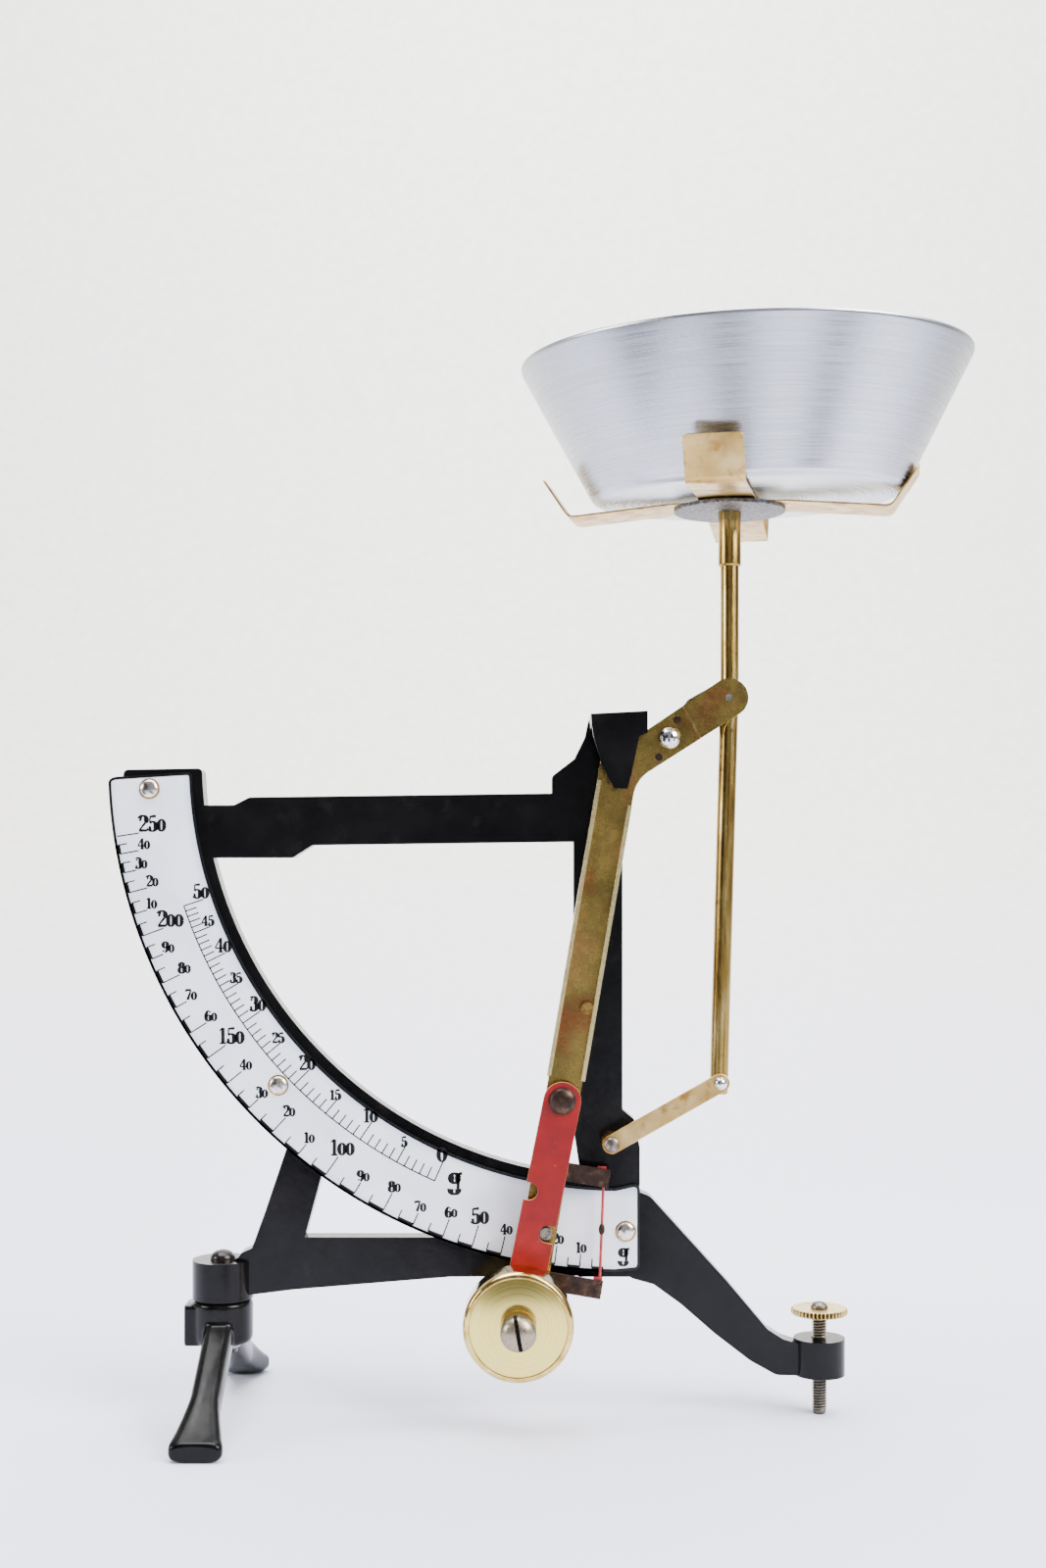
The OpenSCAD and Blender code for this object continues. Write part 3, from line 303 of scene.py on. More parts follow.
    # Knurled brass: yellow crests, with painted shade in dark brown between them
    m["knurled_brass"] = grooved("knurled_brass", "#3a2610", "#dcc07c", (0.2, 0.35))
    # Matt black cloth on the stage's cards: a soft weave
    m["black_cloth"] = finish("black_cloth", [(0.3, "#0b0b0b"), (0.7, "#161616")], 2.0,
        (0.85, 0.95), bumps=[(1.0, 0.1, None)], Specular_IOR_Level=0.1)
    # Black glass colour fired into the enamel: flat lines with a slight gloss
    m["dial_print"] = finish("fired_black_print", [(0.3, "#040405"), (0.7, "#0c0c0e")], 1.5,
        (0.24, 0.4), bumps=[(0.4, 0.002, None)], Specular_IOR_Level=0.3)
    return m


def grooved(name, deep, crest, rough):
    """Metal whose grooves are painted dark as shade: u of the UV map is 0 in a groove, 1 on a
    crest.
    """
    material, tree = new_material(name)
    coords = add(tree, "TexCoord").outputs
    u = add(tree, "SeparateXYZ", {"Vector": coords["UV"]}).outputs["X"]
    fac = add(tree, "Math", {0: u, 1: 1.3}, operation="POWER").outputs[0]
    colour = add(tree, "Mix", {0: fac, 6: deep, 7: crest}, data_type="RGBA").outputs[2]
    dust = noise(tree, coords["Object"], 0.9, 3.0)
    colour = laid_over(tree, colour, "#2a211a", dust, 0.55, 0.7, 0.4)
    shine = spread(tree, noise(tree, coords["Object"], 0.5), *rough)
    return shaded(material, {"Base Color": colour, "Roughness": shine, "Metallic": 0.9})


def dial_enamel(looks):
    """White glass enamel on steel: bluish white, darker at the rims, black on its cut edges."""
    material, tree = new_material("white_vitreous_enamel")
    vector = add(tree, "TexCoord").outputs["Object"]
    fac = noise(tree, vector, 14.0, 4.0, 0.5)
    stops = [(0.35, "#e3e5ef"), (0.6, (*looks.white_enamel, 1))]
    colour = add(tree, "ValToRGB", {"Fac": fac}, stops=stops).outputs["Color"]
    # Distance from the main pivot, square to y
    away = vector
    for kind, value in (("SUBTRACT", (PIVOT[0], 0, PIVOT[2])), ("MULTIPLY", (1, 0, 1))):
        away = add(tree, "VectorMath", {0: away, 1: value}, operation=kind).outputs[0]
    away = add(tree, "VectorMath", {0: away}, operation="LENGTH").outputs["Value"]
    for start, end, strength in ((0.1270, 0.1295, 0.55), (0.1105, 0.1081, 0.75)):
        colour = laid_over(tree, colour, "#9fb4cc", away, start, end, strength)
    speck = noise(tree, vector, 0.5, 2.0)
    colour = laid_over(tree, colour, "#8d8f96", speck, 0.74, 0.78, 0.5)
    colour = laid_over(tree, colour, "#0b0b0e", squareness(tree), 0.93, 0.75)
    wave = {"Height": noise(tree, vector, 6.0, 2.0), "Distance": 0.04 * MM}
    inputs = {"Base Color": colour, "Roughness": spread(tree, noise(tree, vector, 3.0), 0.1, 0.2),
        "Normal": add(tree, "Bump", wave).outputs["Normal"], "Coat Weight": 0.4,
        "Coat Roughness": 0.05}
    return shaded(material, inputs)


# ---- surfaces ----


def grid(points, uv=None):
    """Surface through a grid of points. Each cell is one face, and all of them are turned
    together so that the volume inside is positive."""
    rows, columns = points.shape[:2]
    row, column = np.meshgrid(np.arange(rows - 1), np.arange(columns - 1), indexing="ij")
    first = (row * columns + column).ravel()
    faces = np.stack([first, first + 1, first + columns + 1, first + columns], axis=1)
    flat = points.reshape(-1, 3)
    a, b, c, d = (flat[faces[:, k]] - flat.mean(0) for k in range(4))
    volume = (a * (np.cross(b, c) + np.cross(c, d))).sum()
    if volume < 0:
        faces = faces[:, ::-1]
    if uv is None:
        uv = np.stack(np.meshgrid(np.linspace(0, 1, rows), np.linspace(0, 1, columns),
            indexing="ij"), -1)
    return flat, faces, uv.reshape(-1, 2)


def closed(rows):
    """Rows of rings, with both ends drawn together in their middles."""
    ends = rows[[0, -1]].mean(1, keepdims=True) * np.ones((1, rows.shape[1], 1))
    return np.concatenate([ends[:1], rows, ends[1:]])


def dome(radius, rise, base=0.0, steps=16, end=math.pi / 2):
    """Profile of a domed head from its top down: radius * sin(a), base + rise * cos(a)."""
    a = np.linspace(0, end, steps)
    return np.stack([radius * np.sin(a), base + rise * np.cos(a)], 1)


def piece(name, parts, body, slot, material, hides=(), sharp=38):
    """One object from several surfaces, welded at their seams, that rides on a body."""
    starts = np.cumsum([0] + [len(p[0]) for p in parts])
    points = np.concatenate([p[0] for p in parts])
    faces = np.concatenate([p[1] + s for p, s in zip(parts, starts)])
    uv = np.concatenate([p[2] for p in parts])
    mesh = bpy.data.meshes.new(name)
    mesh.from_pydata(points.tolist(), [], faces.tolist())
    corners = np.empty(len(mesh.loops), np.int32)
    mesh.loops.foreach_get("vertex_index", corners)
    mesh.uv_layers.new(name="UVMap").data.foreach_set("uv", uv[corners].ravel())
    weld(mesh)
    return place(name, mesh, body, slot, material, hides, sharp)


def weld(mesh, flatten=False):
    """Merges doubled vertices; flatten also joins the triangles of each flat face."""
    work = bmesh.new()
    work.from_mesh(mesh)
    bmesh.ops.remove_doubles(work, verts=work.verts, dist=1e-7 if not flatten else 2e-6)
    bmesh.ops.dissolve_degenerate(work, edges=work.edges, dist=1e-8)
    if flatten:
        bmesh.ops.dissolve_limit(work, angle_limit=math.radians(0.8), verts=work.verts,
            edges=work.edges)
    work.to_mesh(mesh)
    work.free()


def place(name, mesh, body, slot, material, hides=(), sharp=38, modifiers=()):
    """Links a mesh as an object with its finish, and ties it to its body."""
    mesh.shade_smooth()
    mesh.set_sharp_from_angle(angle=math.radians(sharp))
    obj = bpy.data.objects.new(name, mesh)
    bpy.context.scene.collection.objects.link(obj)
    mesh.materials.append(MATERIALS[material])
    for kind, settings in modifiers:
        modifier = obj.modifiers.new(kind.title(), kind)
        for key, value in settings.items():
            setattr(modifier, key, value)
    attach(obj, body)
    if hides:
        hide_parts(*hides)
    return obj


def softened(node, name, material, slot, width):
    """Copy of a CAD node with its triangles merged and its edges over 32 degrees rounded to
    width mm."""
    source = NODES[node].data
    points = np.empty(len(source.vertices) * 3, np.float32)
    source.vertices.foreach_get("co", points)
    corners = np.empty(len(source.loops), np.int32)
    source.loops.foreach_get("vertex_index", corners)
    mesh = bpy.data.meshes.new(name)
    mesh.from_pydata(points.reshape(-1, 3).tolist(), [], corners.reshape(-1, 3).tolist())
    weld(mesh, flatten=True)
    bevel = {"width": width * MM, "segments": 3, "limit_method": "ANGLE",
        "angle_limit": math.radians(32), "use_clamp_overlap": True, "harden_normals": False}
    place(name, mesh, NODES[node]["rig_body"], slot, material, (node,), 50, [("BEVEL", bevel),
        ("WEIGHTED_NORMAL", {"keep_sharp": True, "weight": 60})])


def rounded(corners, steps=5):
    """Open polyline whose corners (x, y, r) are rounded: each corner becomes a parabola that
    leaves both sides at r from it."""
    corners = np.asarray(corners, float)
    points, cut = corners[:, :2], corners[:, 2]
    out = [points[:1]]
    s = np.linspace(0, 1, steps + 1)[:, None]
    for before, here, after, r in zip(points, points[1:], points[2:], cut[1:]):
        if r <= 0:
            out.append(here[None])
            continue
        back, on = before - here, after - here
        start = here + back * min(r / np.linalg.norm(back), 0.5)
        end = here + on * min(r / np.linalg.norm(on), 0.5)
        out.append((1 - s) ** 2 * start + 2 * s * (1 - s) * here + s**2 * end)
    out.append(points[-1:])
    return np.concatenate(out)


def lathe(profile, at, axis=(0, 0, 1), steps=96):
    """Profile of (radius, height) in mm carried round an axis through a point.
    u runs once round, and v is the length along the profile in metres."""
    profile = np.asarray(profile, float) * MM
    axis = np.array(Vector(axis).normalized())
    side = np.cross(axis, (0.0, 1.0, 0.0) if abs(axis[1]) < 0.9 else (0.0, 0.0, -1.0))
    side /= np.linalg.norm(side)
    other = np.cross(axis, side)
    turn = np.linspace(0, TURN, steps + 1)[None, :, None]
    ring = np.cos(turn) * side + np.sin(turn) * other
    points = np.asarray(at) + profile[:, 0, None, None] * ring + profile[:, 1, None, None] * axis
    run = np.concatenate([[0], np.cumsum(np.linalg.norm(np.diff(profile, axis=0), axis=1))])
    uv = np.stack(np.broadcast_arrays(turn[..., 0] / TURN, run[:, None]), -1)
    return grid(points, uv)


def sweep(path, across, section, scale=None):
    """Closed section of (along across, outward) sizes carried along a flat path, with closed
    ends. Outward is square to the path and to across; scale changes both sizes on the way."""
    path, across = np.asarray(path, float), np.asarray(across, float)
    along = np.gradient(path, axis=0)
    along /= np.linalg.norm(along, axis=1, keepdims=True)
    out = np.cross(along, across)
    if scale is None:
        scale = np.ones((len(path), 2))
    sizes = section[None] * scale[:, None]
    rows = path[:, None] + sizes[..., :1] * across + sizes[..., 1:] * out[:, None]
    return grid(closed(rows))


def disc_section(radius, steps=24):
    """Circle of a radius in mm."""
    turn = np.linspace(0, TURN, steps + 1)
    return np.stack([np.cos(turn), np.sin(turn)], 1) * radius * MM


def bar_section(wide, thick, edge, steps=3):
    """Rectangle in mm with rounded corners, closed, starting in the middle of one side."""
    w, t = wide / 2, thick / 2
    ring = [(0, -t, 0), (w, -t, edge), (w, t, edge), (-w, t, edge), (-w, -t, edge), (0, -t, 0)]
    return rounded(ring, steps) * MM


def inset(outline, depth):
    """Closed outline drawn in by a depth, square to the chord between each point's neighbours."""
    step = np.roll(outline, -1, 0) - np.roll(outline, 1, 0)
    step /= np.linalg.norm(step, axis=1, keepdims=True)
    after = np.roll(outline, -1, 0)
    area = (outline[:, 0] * after[:, 1] - after[:, 0] * outline[:, 1]).sum()
    return outline + math.copysign(depth, area) * np.stack([-step[:, 1], step[:, 0]], 1)


def slab(outline, front, back, edge, steps=4):
    """Flat plate with a pillowed edge: a closed outline in x and z is drawn in by
    edge * (1 - sin a) as it goes edge * (1 - cos a) towards each face."""
    a = np.linspace(0, math.pi / 2, steps + 1)
    draw = edge * (1 - np.sin(a))
    depth = edge * (1 - np.cos(a))
    draw = np.concatenate([draw, draw[::-1]])
    y = np.concatenate([front + depth, (back - depth)[::-1]])
    ring = np.array([inset(outline, d) for d in draw])
    rows = np.stack([ring[..., 0], y[:, None] * np.ones(len(outline)), ring[..., 1]], -1)
    return np.concatenate([rows, rows[:, :1]], axis=1)


# ---- properties ----


def colour(name, description, code):
    """Colour property with a hex default."""
    return FloatVectorProperty(name=name, description=description, subtype="COLOR", size=3, min=0,
        max=1, default=linear(code)[:3])


def length(name, description, value):
    """Length property in metres, with its default in mm."""
    return FloatProperty(name=name, description=description, default=value * MM, unit="LENGTH",
        precision=5)


class LetterScaleLooks(bpy.types.PropertyGroup):
    """Sizes and colours of the scale's looks."""

    black_enamel: colour("Black enamel", "Stove enamel on the casting and the foot", "#0a0a0b")
    white_enamel: colour("White enamel", "Glass enamel of the dial", "#f1f2f7")
    red_paint: colour("Red paint", "Paint on the weight's strip", "#7e0503")
    lever_brass: colour("Lever brass", "Tarnished sheet brass of the lever", "#a08747")
    rod_brass: colour("Rod brass", "Lacquered tube that carries the bowl", "#a88a48")
    pale_brass: colour("Pale brass", "Rolled strip of the carrier and the link", "#cbaa68")
    aluminium: colour("Aluminium", "Spun bowl", "#bfc2c8")
    paper: colour("Backdrop", "Upright part of the stage's backdrop", "#f1efe9")
    cast_edge: length("Casting edge", "Rounding of the casting's edges", 0.75)
    sheet_edge: length("Sheet edge", "Rounding of the edges of sheet metal", 0.22)
    print_line: length("Scale line", "Width of the lines of the dial's scale", 0.32)
    thread_pitch: length("Thread pitch", "Pitch of the levelling screw", 0.7)
    rim_bead: length("Bowl edge", "Thickness of the bowl's rim", 0.9)
    key_power: FloatProperty(name="Key light", description="Power of the large light on the right",
        default=19.0, min=0, unit="POWER")


MATERIALS = {}


def prepared(context):
    """The scene's looks, with the materials made the first time."""
    looks = context.scene.letter_scale
    if not MATERIALS:
        MATERIALS.update(make_materials(looks))
    return looks


# ---- stage ----


class MakeStage(bpy.types.Operator):
    """Makes the camera, the lights and a pale floor that sweeps up into a backdrop"""

    bl_idname = "letter_scale.stage"
    bl_label = "Stage"
    bl_options = {"REGISTER", "UNDO"}

    def execute(self, context):
        looks = prepared(context)
        scene = bpy.context.scene
        camera = bpy.data.objects.new("camera", bpy.data.cameras.new("camera"))
        scene.collection.objects.link(camera)
        camera.data.sensor_fit = "VERTICAL"
        camera.data.sensor_height = 36.0
        camera.data.lens = 43.13
        camera.data.shift_y = 0.059
        camera.location = (PIVOT[0] - 0.0243, -0.471, 0.13675)
        camera.rotation_euler = (math.pi / 2, 0, 0)
        scene.camera = camera
        # Sweep: flat floor, a quarter round of radius 0.5 m, then an upright wall
        bend = np.linspace(0, math.pi / 2, 24)
        y = np.concatenate([[-1.6, 0.35], 0.35 + 0.5 * np.sin(bend), [0.85]])
        z = np.concatenate([[0, 0], 0.5 * (1 - np.cos(bend)), [2.2]])
        x = np.linspace(-1.6, 1.6, 9)
        rows = np.stack(np.broadcast_arrays(x, y[:, None], z[:, None]), -1)
        backdrop = self.sheet("backdrop", rows, self.paper(looks))
        if sum(face.normal.z for face in backdrop.data.polygons) < 0:
            backdrop.data.flip_normals()
        cards = [self.card("left_card", (-0.62, -0.55), 0.85, 50),
            self.card("right_card", (0.34, -0.85), 0.2, -20),
            self.floor_card("floor_card_left", -62, 16),
            self.floor_card("floor_card_middle", -14, 11),
            self.floor_card("floor_card_right", 46, 10)]
        self.light("key_light", (0.62, -0.42, 0.62), (0.02, 0.0, 0.14), 0.55, looks.key_power)
        self.light("top_light", (0.0, 0.05, 1.15), (0.0, 0.05, 0.0), 1.1, 22.0)
        self.light("left_light", (-0.8, -0.25, 0.35), (0.0, 0.0, 0.13), 0.35, 5.0)
        self.light("wall_light", (0.0, 0.1, 0.9), (0.0, 0.85, 0.45), 0.8, 19.0)
        world = bpy.data.worlds.new("studio")
        scene.world = world
        world.use_nodes = True
        tree = world.node_tree
        tree.nodes.clear()
        back = add(tree, "Background", {"Color": "#d6d8de", "Strength": 0.55})
        add(tree, "OutputWorld", {"Surface": back.outputs[0]})
        return {"FINISHED"}

    def card(self, name, place, width, turn):
        """Upright black card beside the object, bent a little, that darkens reflections:
        x runs across it, and it stands off its chord by 0.05 * (1 - s * s)."""
        across = np.linspace(-1, 1, 9)
        up = np.linspace(0.02, 0.75, 5)
        a = math.radians(turn)
        chord = across * width / 2
        off = 0.05 * width * (1 - across**2)
        x = place[0] + chord * math.cos(a) - off * math.sin(a)
        y = place[1] - chord * math.sin(a) - off * math.cos(a)
        return self.cloth(name, np.stack(np.broadcast_arrays(x, y, up[:, None]), -1))

    def floor_card(self, name, middle, half):
        """Black card on the floor in front of the object, a sector round the bowl's axis: its
        angle runs to half degrees each side of its middle, and its far edge curls up."""
        a = np.radians(np.linspace(middle - half, middle + half, 9))
        out = np.linspace(0.16 / math.cos(math.radians(middle)), 0.75, 7)[:, None]
        x = BOWL_SEAT["pos_m"][0] + out * np.sin(a)
        z = 0.002 + 0.02 * (out / 0.75) ** 4
        return self.cloth(name, np.stack(np.broadcast_arrays(x, -out * np.cos(a), z), -1))

    def cloth(self, name, rows):
        """Sheet of black cloth that only shows in reflections."""
        card = self.sheet(name, rows, MATERIALS["black_cloth"])
        card.visible_camera = card.visible_diffuse = card.visible_shadow = False
        return card

    def sheet(self, name, rows, material):
        """Smooth open sheet through a grid of points."""
        flat, faces = grid(rows)[:2]
        mesh = bpy.data.meshes.new(name)
        mesh.from_pydata(flat.tolist(), [], faces.tolist())
        mesh.shade_smooth()
        mesh.materials.append(material)
        obj = bpy.data.objects.new(name, mesh)
        bpy.context.scene.collection.objects.link(obj)
        return obj

    def paper(self, looks):
        """Matt laid paper: almost even, cooler towards the floor's front."""
        material, tree = new_material("pale_paper")
        vector = add(tree, "TexCoord").outputs["Object"]
        fibre = noise(tree, vector, 6.0, 6.0)
        tone = laid_over(tree, (*looks.paper, 1), "#e9e6df", fibre, 0.35, 0.7)
        high = add(tree, "SeparateXYZ", {"Vector": vector}).outputs["Z"]
        tone = laid_over(tree, "#e3e5f6", tone, high, 0.0, 0.15)
        grain = {"Height": noise(tree, vector, 1.2, 4.0), "Distance": 0.1 * MM}
        bump = add(tree, "Bump", grain).outputs["Normal"]
        return shaded(material, {"Base Color": tone, "Roughness": 0.9, "Normal": bump})

    def light(self, name, at, target, size, power):
        """Square soft box at a place, facing a target."""
        data = bpy.data.lights.new(name, "AREA")
        data.size, data.energy = size, power
        obj = bpy.data.objects.new(name, data)
        bpy.context.scene.collection.objects.link(obj)
        obj.location = at
        obj.rotation_euler = (Vector(at) - Vector(target)).to_track_quat("Z", "Y").to_euler()


# ---- frame ----


class MakeCasting(bpy.types.Operator):
    """Makes the cast frame with the soft edges of thick enamel"""

    bl_idname = "letter_scale.casting"
    bl_label = "Casting"
    bl_options = {"REGISTER", "UNDO"}

    def execute(self, context):
        looks = prepared(context)
        softened("frame_casting", "casting", "black_enamel", "cast_black", looks.cast_edge / MM)
        return {"FINISHED"}


# The dial's own sizes about the main pivot, in metres: inner radius, and how far below the
# pivot the two sides of its square end lie. Its top edge rises by TOP_SLOPE from TOP_EDGE.
DIAL_INNER, DIAL_FOOT, DIAL_TAB = 0.108, 0.1288, 0.107
TOP_SLOPE, TOP_EDGE = math.tan(math.radians(3.6)), 4 * MM
DIAL_RIVETS, RIVET_INSET = (183.4, 223.6, 270.8), 10.3 * MM
# Radii of the outer scale's lines and of the inner scale's line
LINE_FOOT, INNER_LINE = 0.1283, 0.1161


def meet(radius):
    """Angle at which a circle meets the dial's top edge."""
    turn = np.linspace(math.radians(165), math.radians(200), 4000)
    gap = radius * np.sin(turn) - (TOP_SLOPE * radius * np.cos(turn) + TOP_EDGE)
    return float(turn[np.abs(gap).argmin()])


def dial_outline():
    """Closed outline of the dial in x and z: two arcs, a short square end and a top edge."""
    low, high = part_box("dial_plate")
    outer = PIVOT[0] - low[0]
    end = high[0] - PIVOT[0]
    turn = np.linspace(meet(outer), 1.5 * math.pi - 0.008, 120)[:, None]
    ring = outer * np.concatenate([np.cos(turn), np.sin(turn)], 1)
    back = np.linspace(1.5 * math.pi - 0.009, meet(DIAL_INNER), 110)[:, None]
    hole = DIAL_INNER * np.concatenate([np.cos(back), np.sin(back)], 1)
    r, top_in, top_out = 1.8 * MM, 1.6 * MM, 2.6 * MM
    tab_end = [(-MM, -DIAL_FOOT, 0), (end, -DIAL_FOOT, r), (end, -DIAL_TAB, r), (-MM, -DIAL_TAB, 0)]
    tab_end = rounded(tab_end, 6)
    first = ring[np.linalg.norm(ring - ring[0], axis=1) > top_out]
    last = hole[np.linalg.norm(hole - hole[-1], axis=1) > top_in]
    corners = [(*last[-1], 0), (*hole[-1], top_in), (*ring[0], top_out), (*first[0], 0)]
    top = rounded(corners, 8)
    return np.concatenate([first, tab_end[1:-1], last[:-1], top[:-1]]) + PIVOT[[0, 2]]


class MakeDial(bpy.types.Operator):
    """Makes the pillowed enamel plate, its three nickel rivets and a painted shadow ring round each
    """

    bl_idname = "letter_scale.dial"
    bl_label = "Dial plate"
    bl_options = {"REGISTER", "UNDO"}

    def execute(self, context):
        prepared(context)
        low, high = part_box("dial_plate")
        outer = PIVOT[0] - low[0]
        rows = slab(dial_outline(), low[1], high[1], 0.3 * MM)
        flat, faces = grid(rows)[:2]
        count = rows.shape[1] - 1
        mesh = bpy.data.meshes.new("enamel_plate")
        first = list(range(count))
        last = [len(flat) - 1 - count + i for i in range(count)]
        if self.faces_out(flat, first) > 0:
            first.reverse()
        if self.faces_out(flat, last) < 0:
            last.reverse()
        mesh.from_pydata(flat.tolist(), [], faces.tolist() + [first, last])
        weld(mesh)
        place("enamel_plate", mesh, "frame", "dial_enamel", "dial_enamel", ("dial_plate",), 60)
        heads, places = [], []
        for angle in DIAL_RIVETS:
            a = math.radians(angle)
            at = PIVOT + (outer - RIVET_INSET) * np.array([math.cos(a), 0, math.sin(a)])
            at[1] = low[1]
            places.append(at)
            heads.append(self.head(at))
        # A thin brass-brown ring round the foot of each rivet is a painted shadow, not a part
        collar = [(2.3, 0.02), (2.62, 0.02), (2.66, 0.1), (2.5, 0.2), (2.3, 0.2), (2.3, 0.02)]
        rings = [lathe(collar, at, FRONT, 48) for at in places]
        piece("rivet_shadow_rings", rings, "frame", "nickel", "bush_brass", (), 60)
        piece("nickel_rivets", heads, "frame", "nickel", "nickel", ("dial_rivets",), 60)
        return {"FINISHED"}

    def faces_out(self, points, ring):
        """y part of a ring's normal, by the sum of its cross products."""
        x, z = points[ring, 0], points[ring, 2]
        return float((z * np.roll(x, -1) - x * np.roll(z, -1)).sum())

    def head(self, at):
        """Low dome on a thin flange, with its shank reaching into the casting."""
        flange = [(2.36, 0.1), (2.5, 0.08), (2.5, 0.0), (1.2, 0), (1.2, -6.6), (0, -6.6)]
        profile = np.concatenate([dome(2.3, 0.95, 0.15, 14), flange])
        return lathe(profile, at, FRONT, 48)


# ---- dial print ----

# Strokes of each numeral on a height of 1: arcs are (x, y, half width, half height, from, to)
# in degrees, and stems are (x, y, x, y, width, width). Round strokes are thick at their sides.
NUMERALS = {
    "0": (0.62, [("arc", 0.31, 0.5, 0.23, 0.46, 0, 360)]),
    "1": (0.5, [("stem", 0.27, 0.03, 0.27, 0.97, 0.17, 0.17),
        ("stem", 0.05, 0.8, 0.27, 0.96, 0.04, 0.07),
        ("stem", 0.06, 0.02, 0.48, 0.02, 0.05, 0.05)]),
    "2": (0.62, [("arc", 0.3, 0.72, 0.21, 0.25, 165, -42),
        ("stem", 0.45, 0.55, 0.07, 0.07, 0.1, 0.05),
        ("stem", 0.06, 0.06, 0.55, 0.06, 0.14, 0.1),
        ("stem", 0.55, 0.04, 0.58, 0.22, 0.07, 0.03), ("arc", 0.13, 0.7, 0.04, 0.04, 0, 360)]),
    "3": (0.6, [("arc", 0.27, 0.75, 0.18, 0.22, 150, -90),
        ("arc", 0.27, 0.28, 0.22, 0.27, 90, -155), ("arc", 0.12, 0.76, 0.04, 0.04, 0, 360),
        ("arc", 0.1, 0.24, 0.045, 0.045, 0, 360)]),
    "4": (0.62, [("stem", 0.41, 0.03, 0.41, 0.98, 0.16, 0.14),
        ("stem", 0.4, 0.97, 0.03, 0.3, 0.05, 0.05), ("stem", 0.02, 0.28, 0.6, 0.28, 0.05, 0.05),
        ("stem", 0.24, 0.02, 0.58, 0.02, 0.05, 0.05)]),
    "5": (0.58, [("stem", 0.12, 0.92, 0.48, 0.95, 0.08, 0.13),
        ("stem", 0.12, 0.95, 0.1, 0.5, 0.05, 0.04), ("arc", 0.26, 0.31, 0.22, 0.29, 130, -155),
        ("arc", 0.1, 0.25, 0.045, 0.045, 0, 360)]),
    "6": (0.62, [("arc", 0.32, 0.28, 0.2, 0.26, 0, 360),
        ("arc", 0.4, 0.34, 0.31, 0.62, 178, 95), ("arc", 0.47, 0.84, 0.045, 0.045, 0, 360)]),
    "7": (0.58, [("stem", 0.06, 0.9, 0.54, 0.92, 0.14, 0.12),
        ("stem", 0.06, 0.92, 0.05, 0.74, 0.05, 0.03),
        ("stem", 0.53, 0.9, 0.24, 0.02, 0.05, 0.18)]),
    "8": (0.62, [("arc", 0.31, 0.74, 0.17, 0.21, 0, 360),
        ("arc", 0.31, 0.27, 0.22, 0.26, 0, 360)]),
    "9": (0.62, [("arc", 0.3, 0.7, 0.2, 0.26, 0, 360), ("arc", 0.22, 0.64, 0.31, 0.62, -2, -85),
        ("arc", 0.13, 0.15, 0.045, 0.045, 0, 360)]),
    "g": (0.66, [("arc", 0.27, 0.5, 0.17, 0.23, 0, 360),
        ("stem", 0.47, 0.72, 0.44, -0.02, 0.12, 0.1), ("arc", 0.26, -0.05, 0.19, 0.22, 8, -190),
        ("stem", 0.46, 0.7, 0.64, 0.74, 0.06, 0.12)]),
}


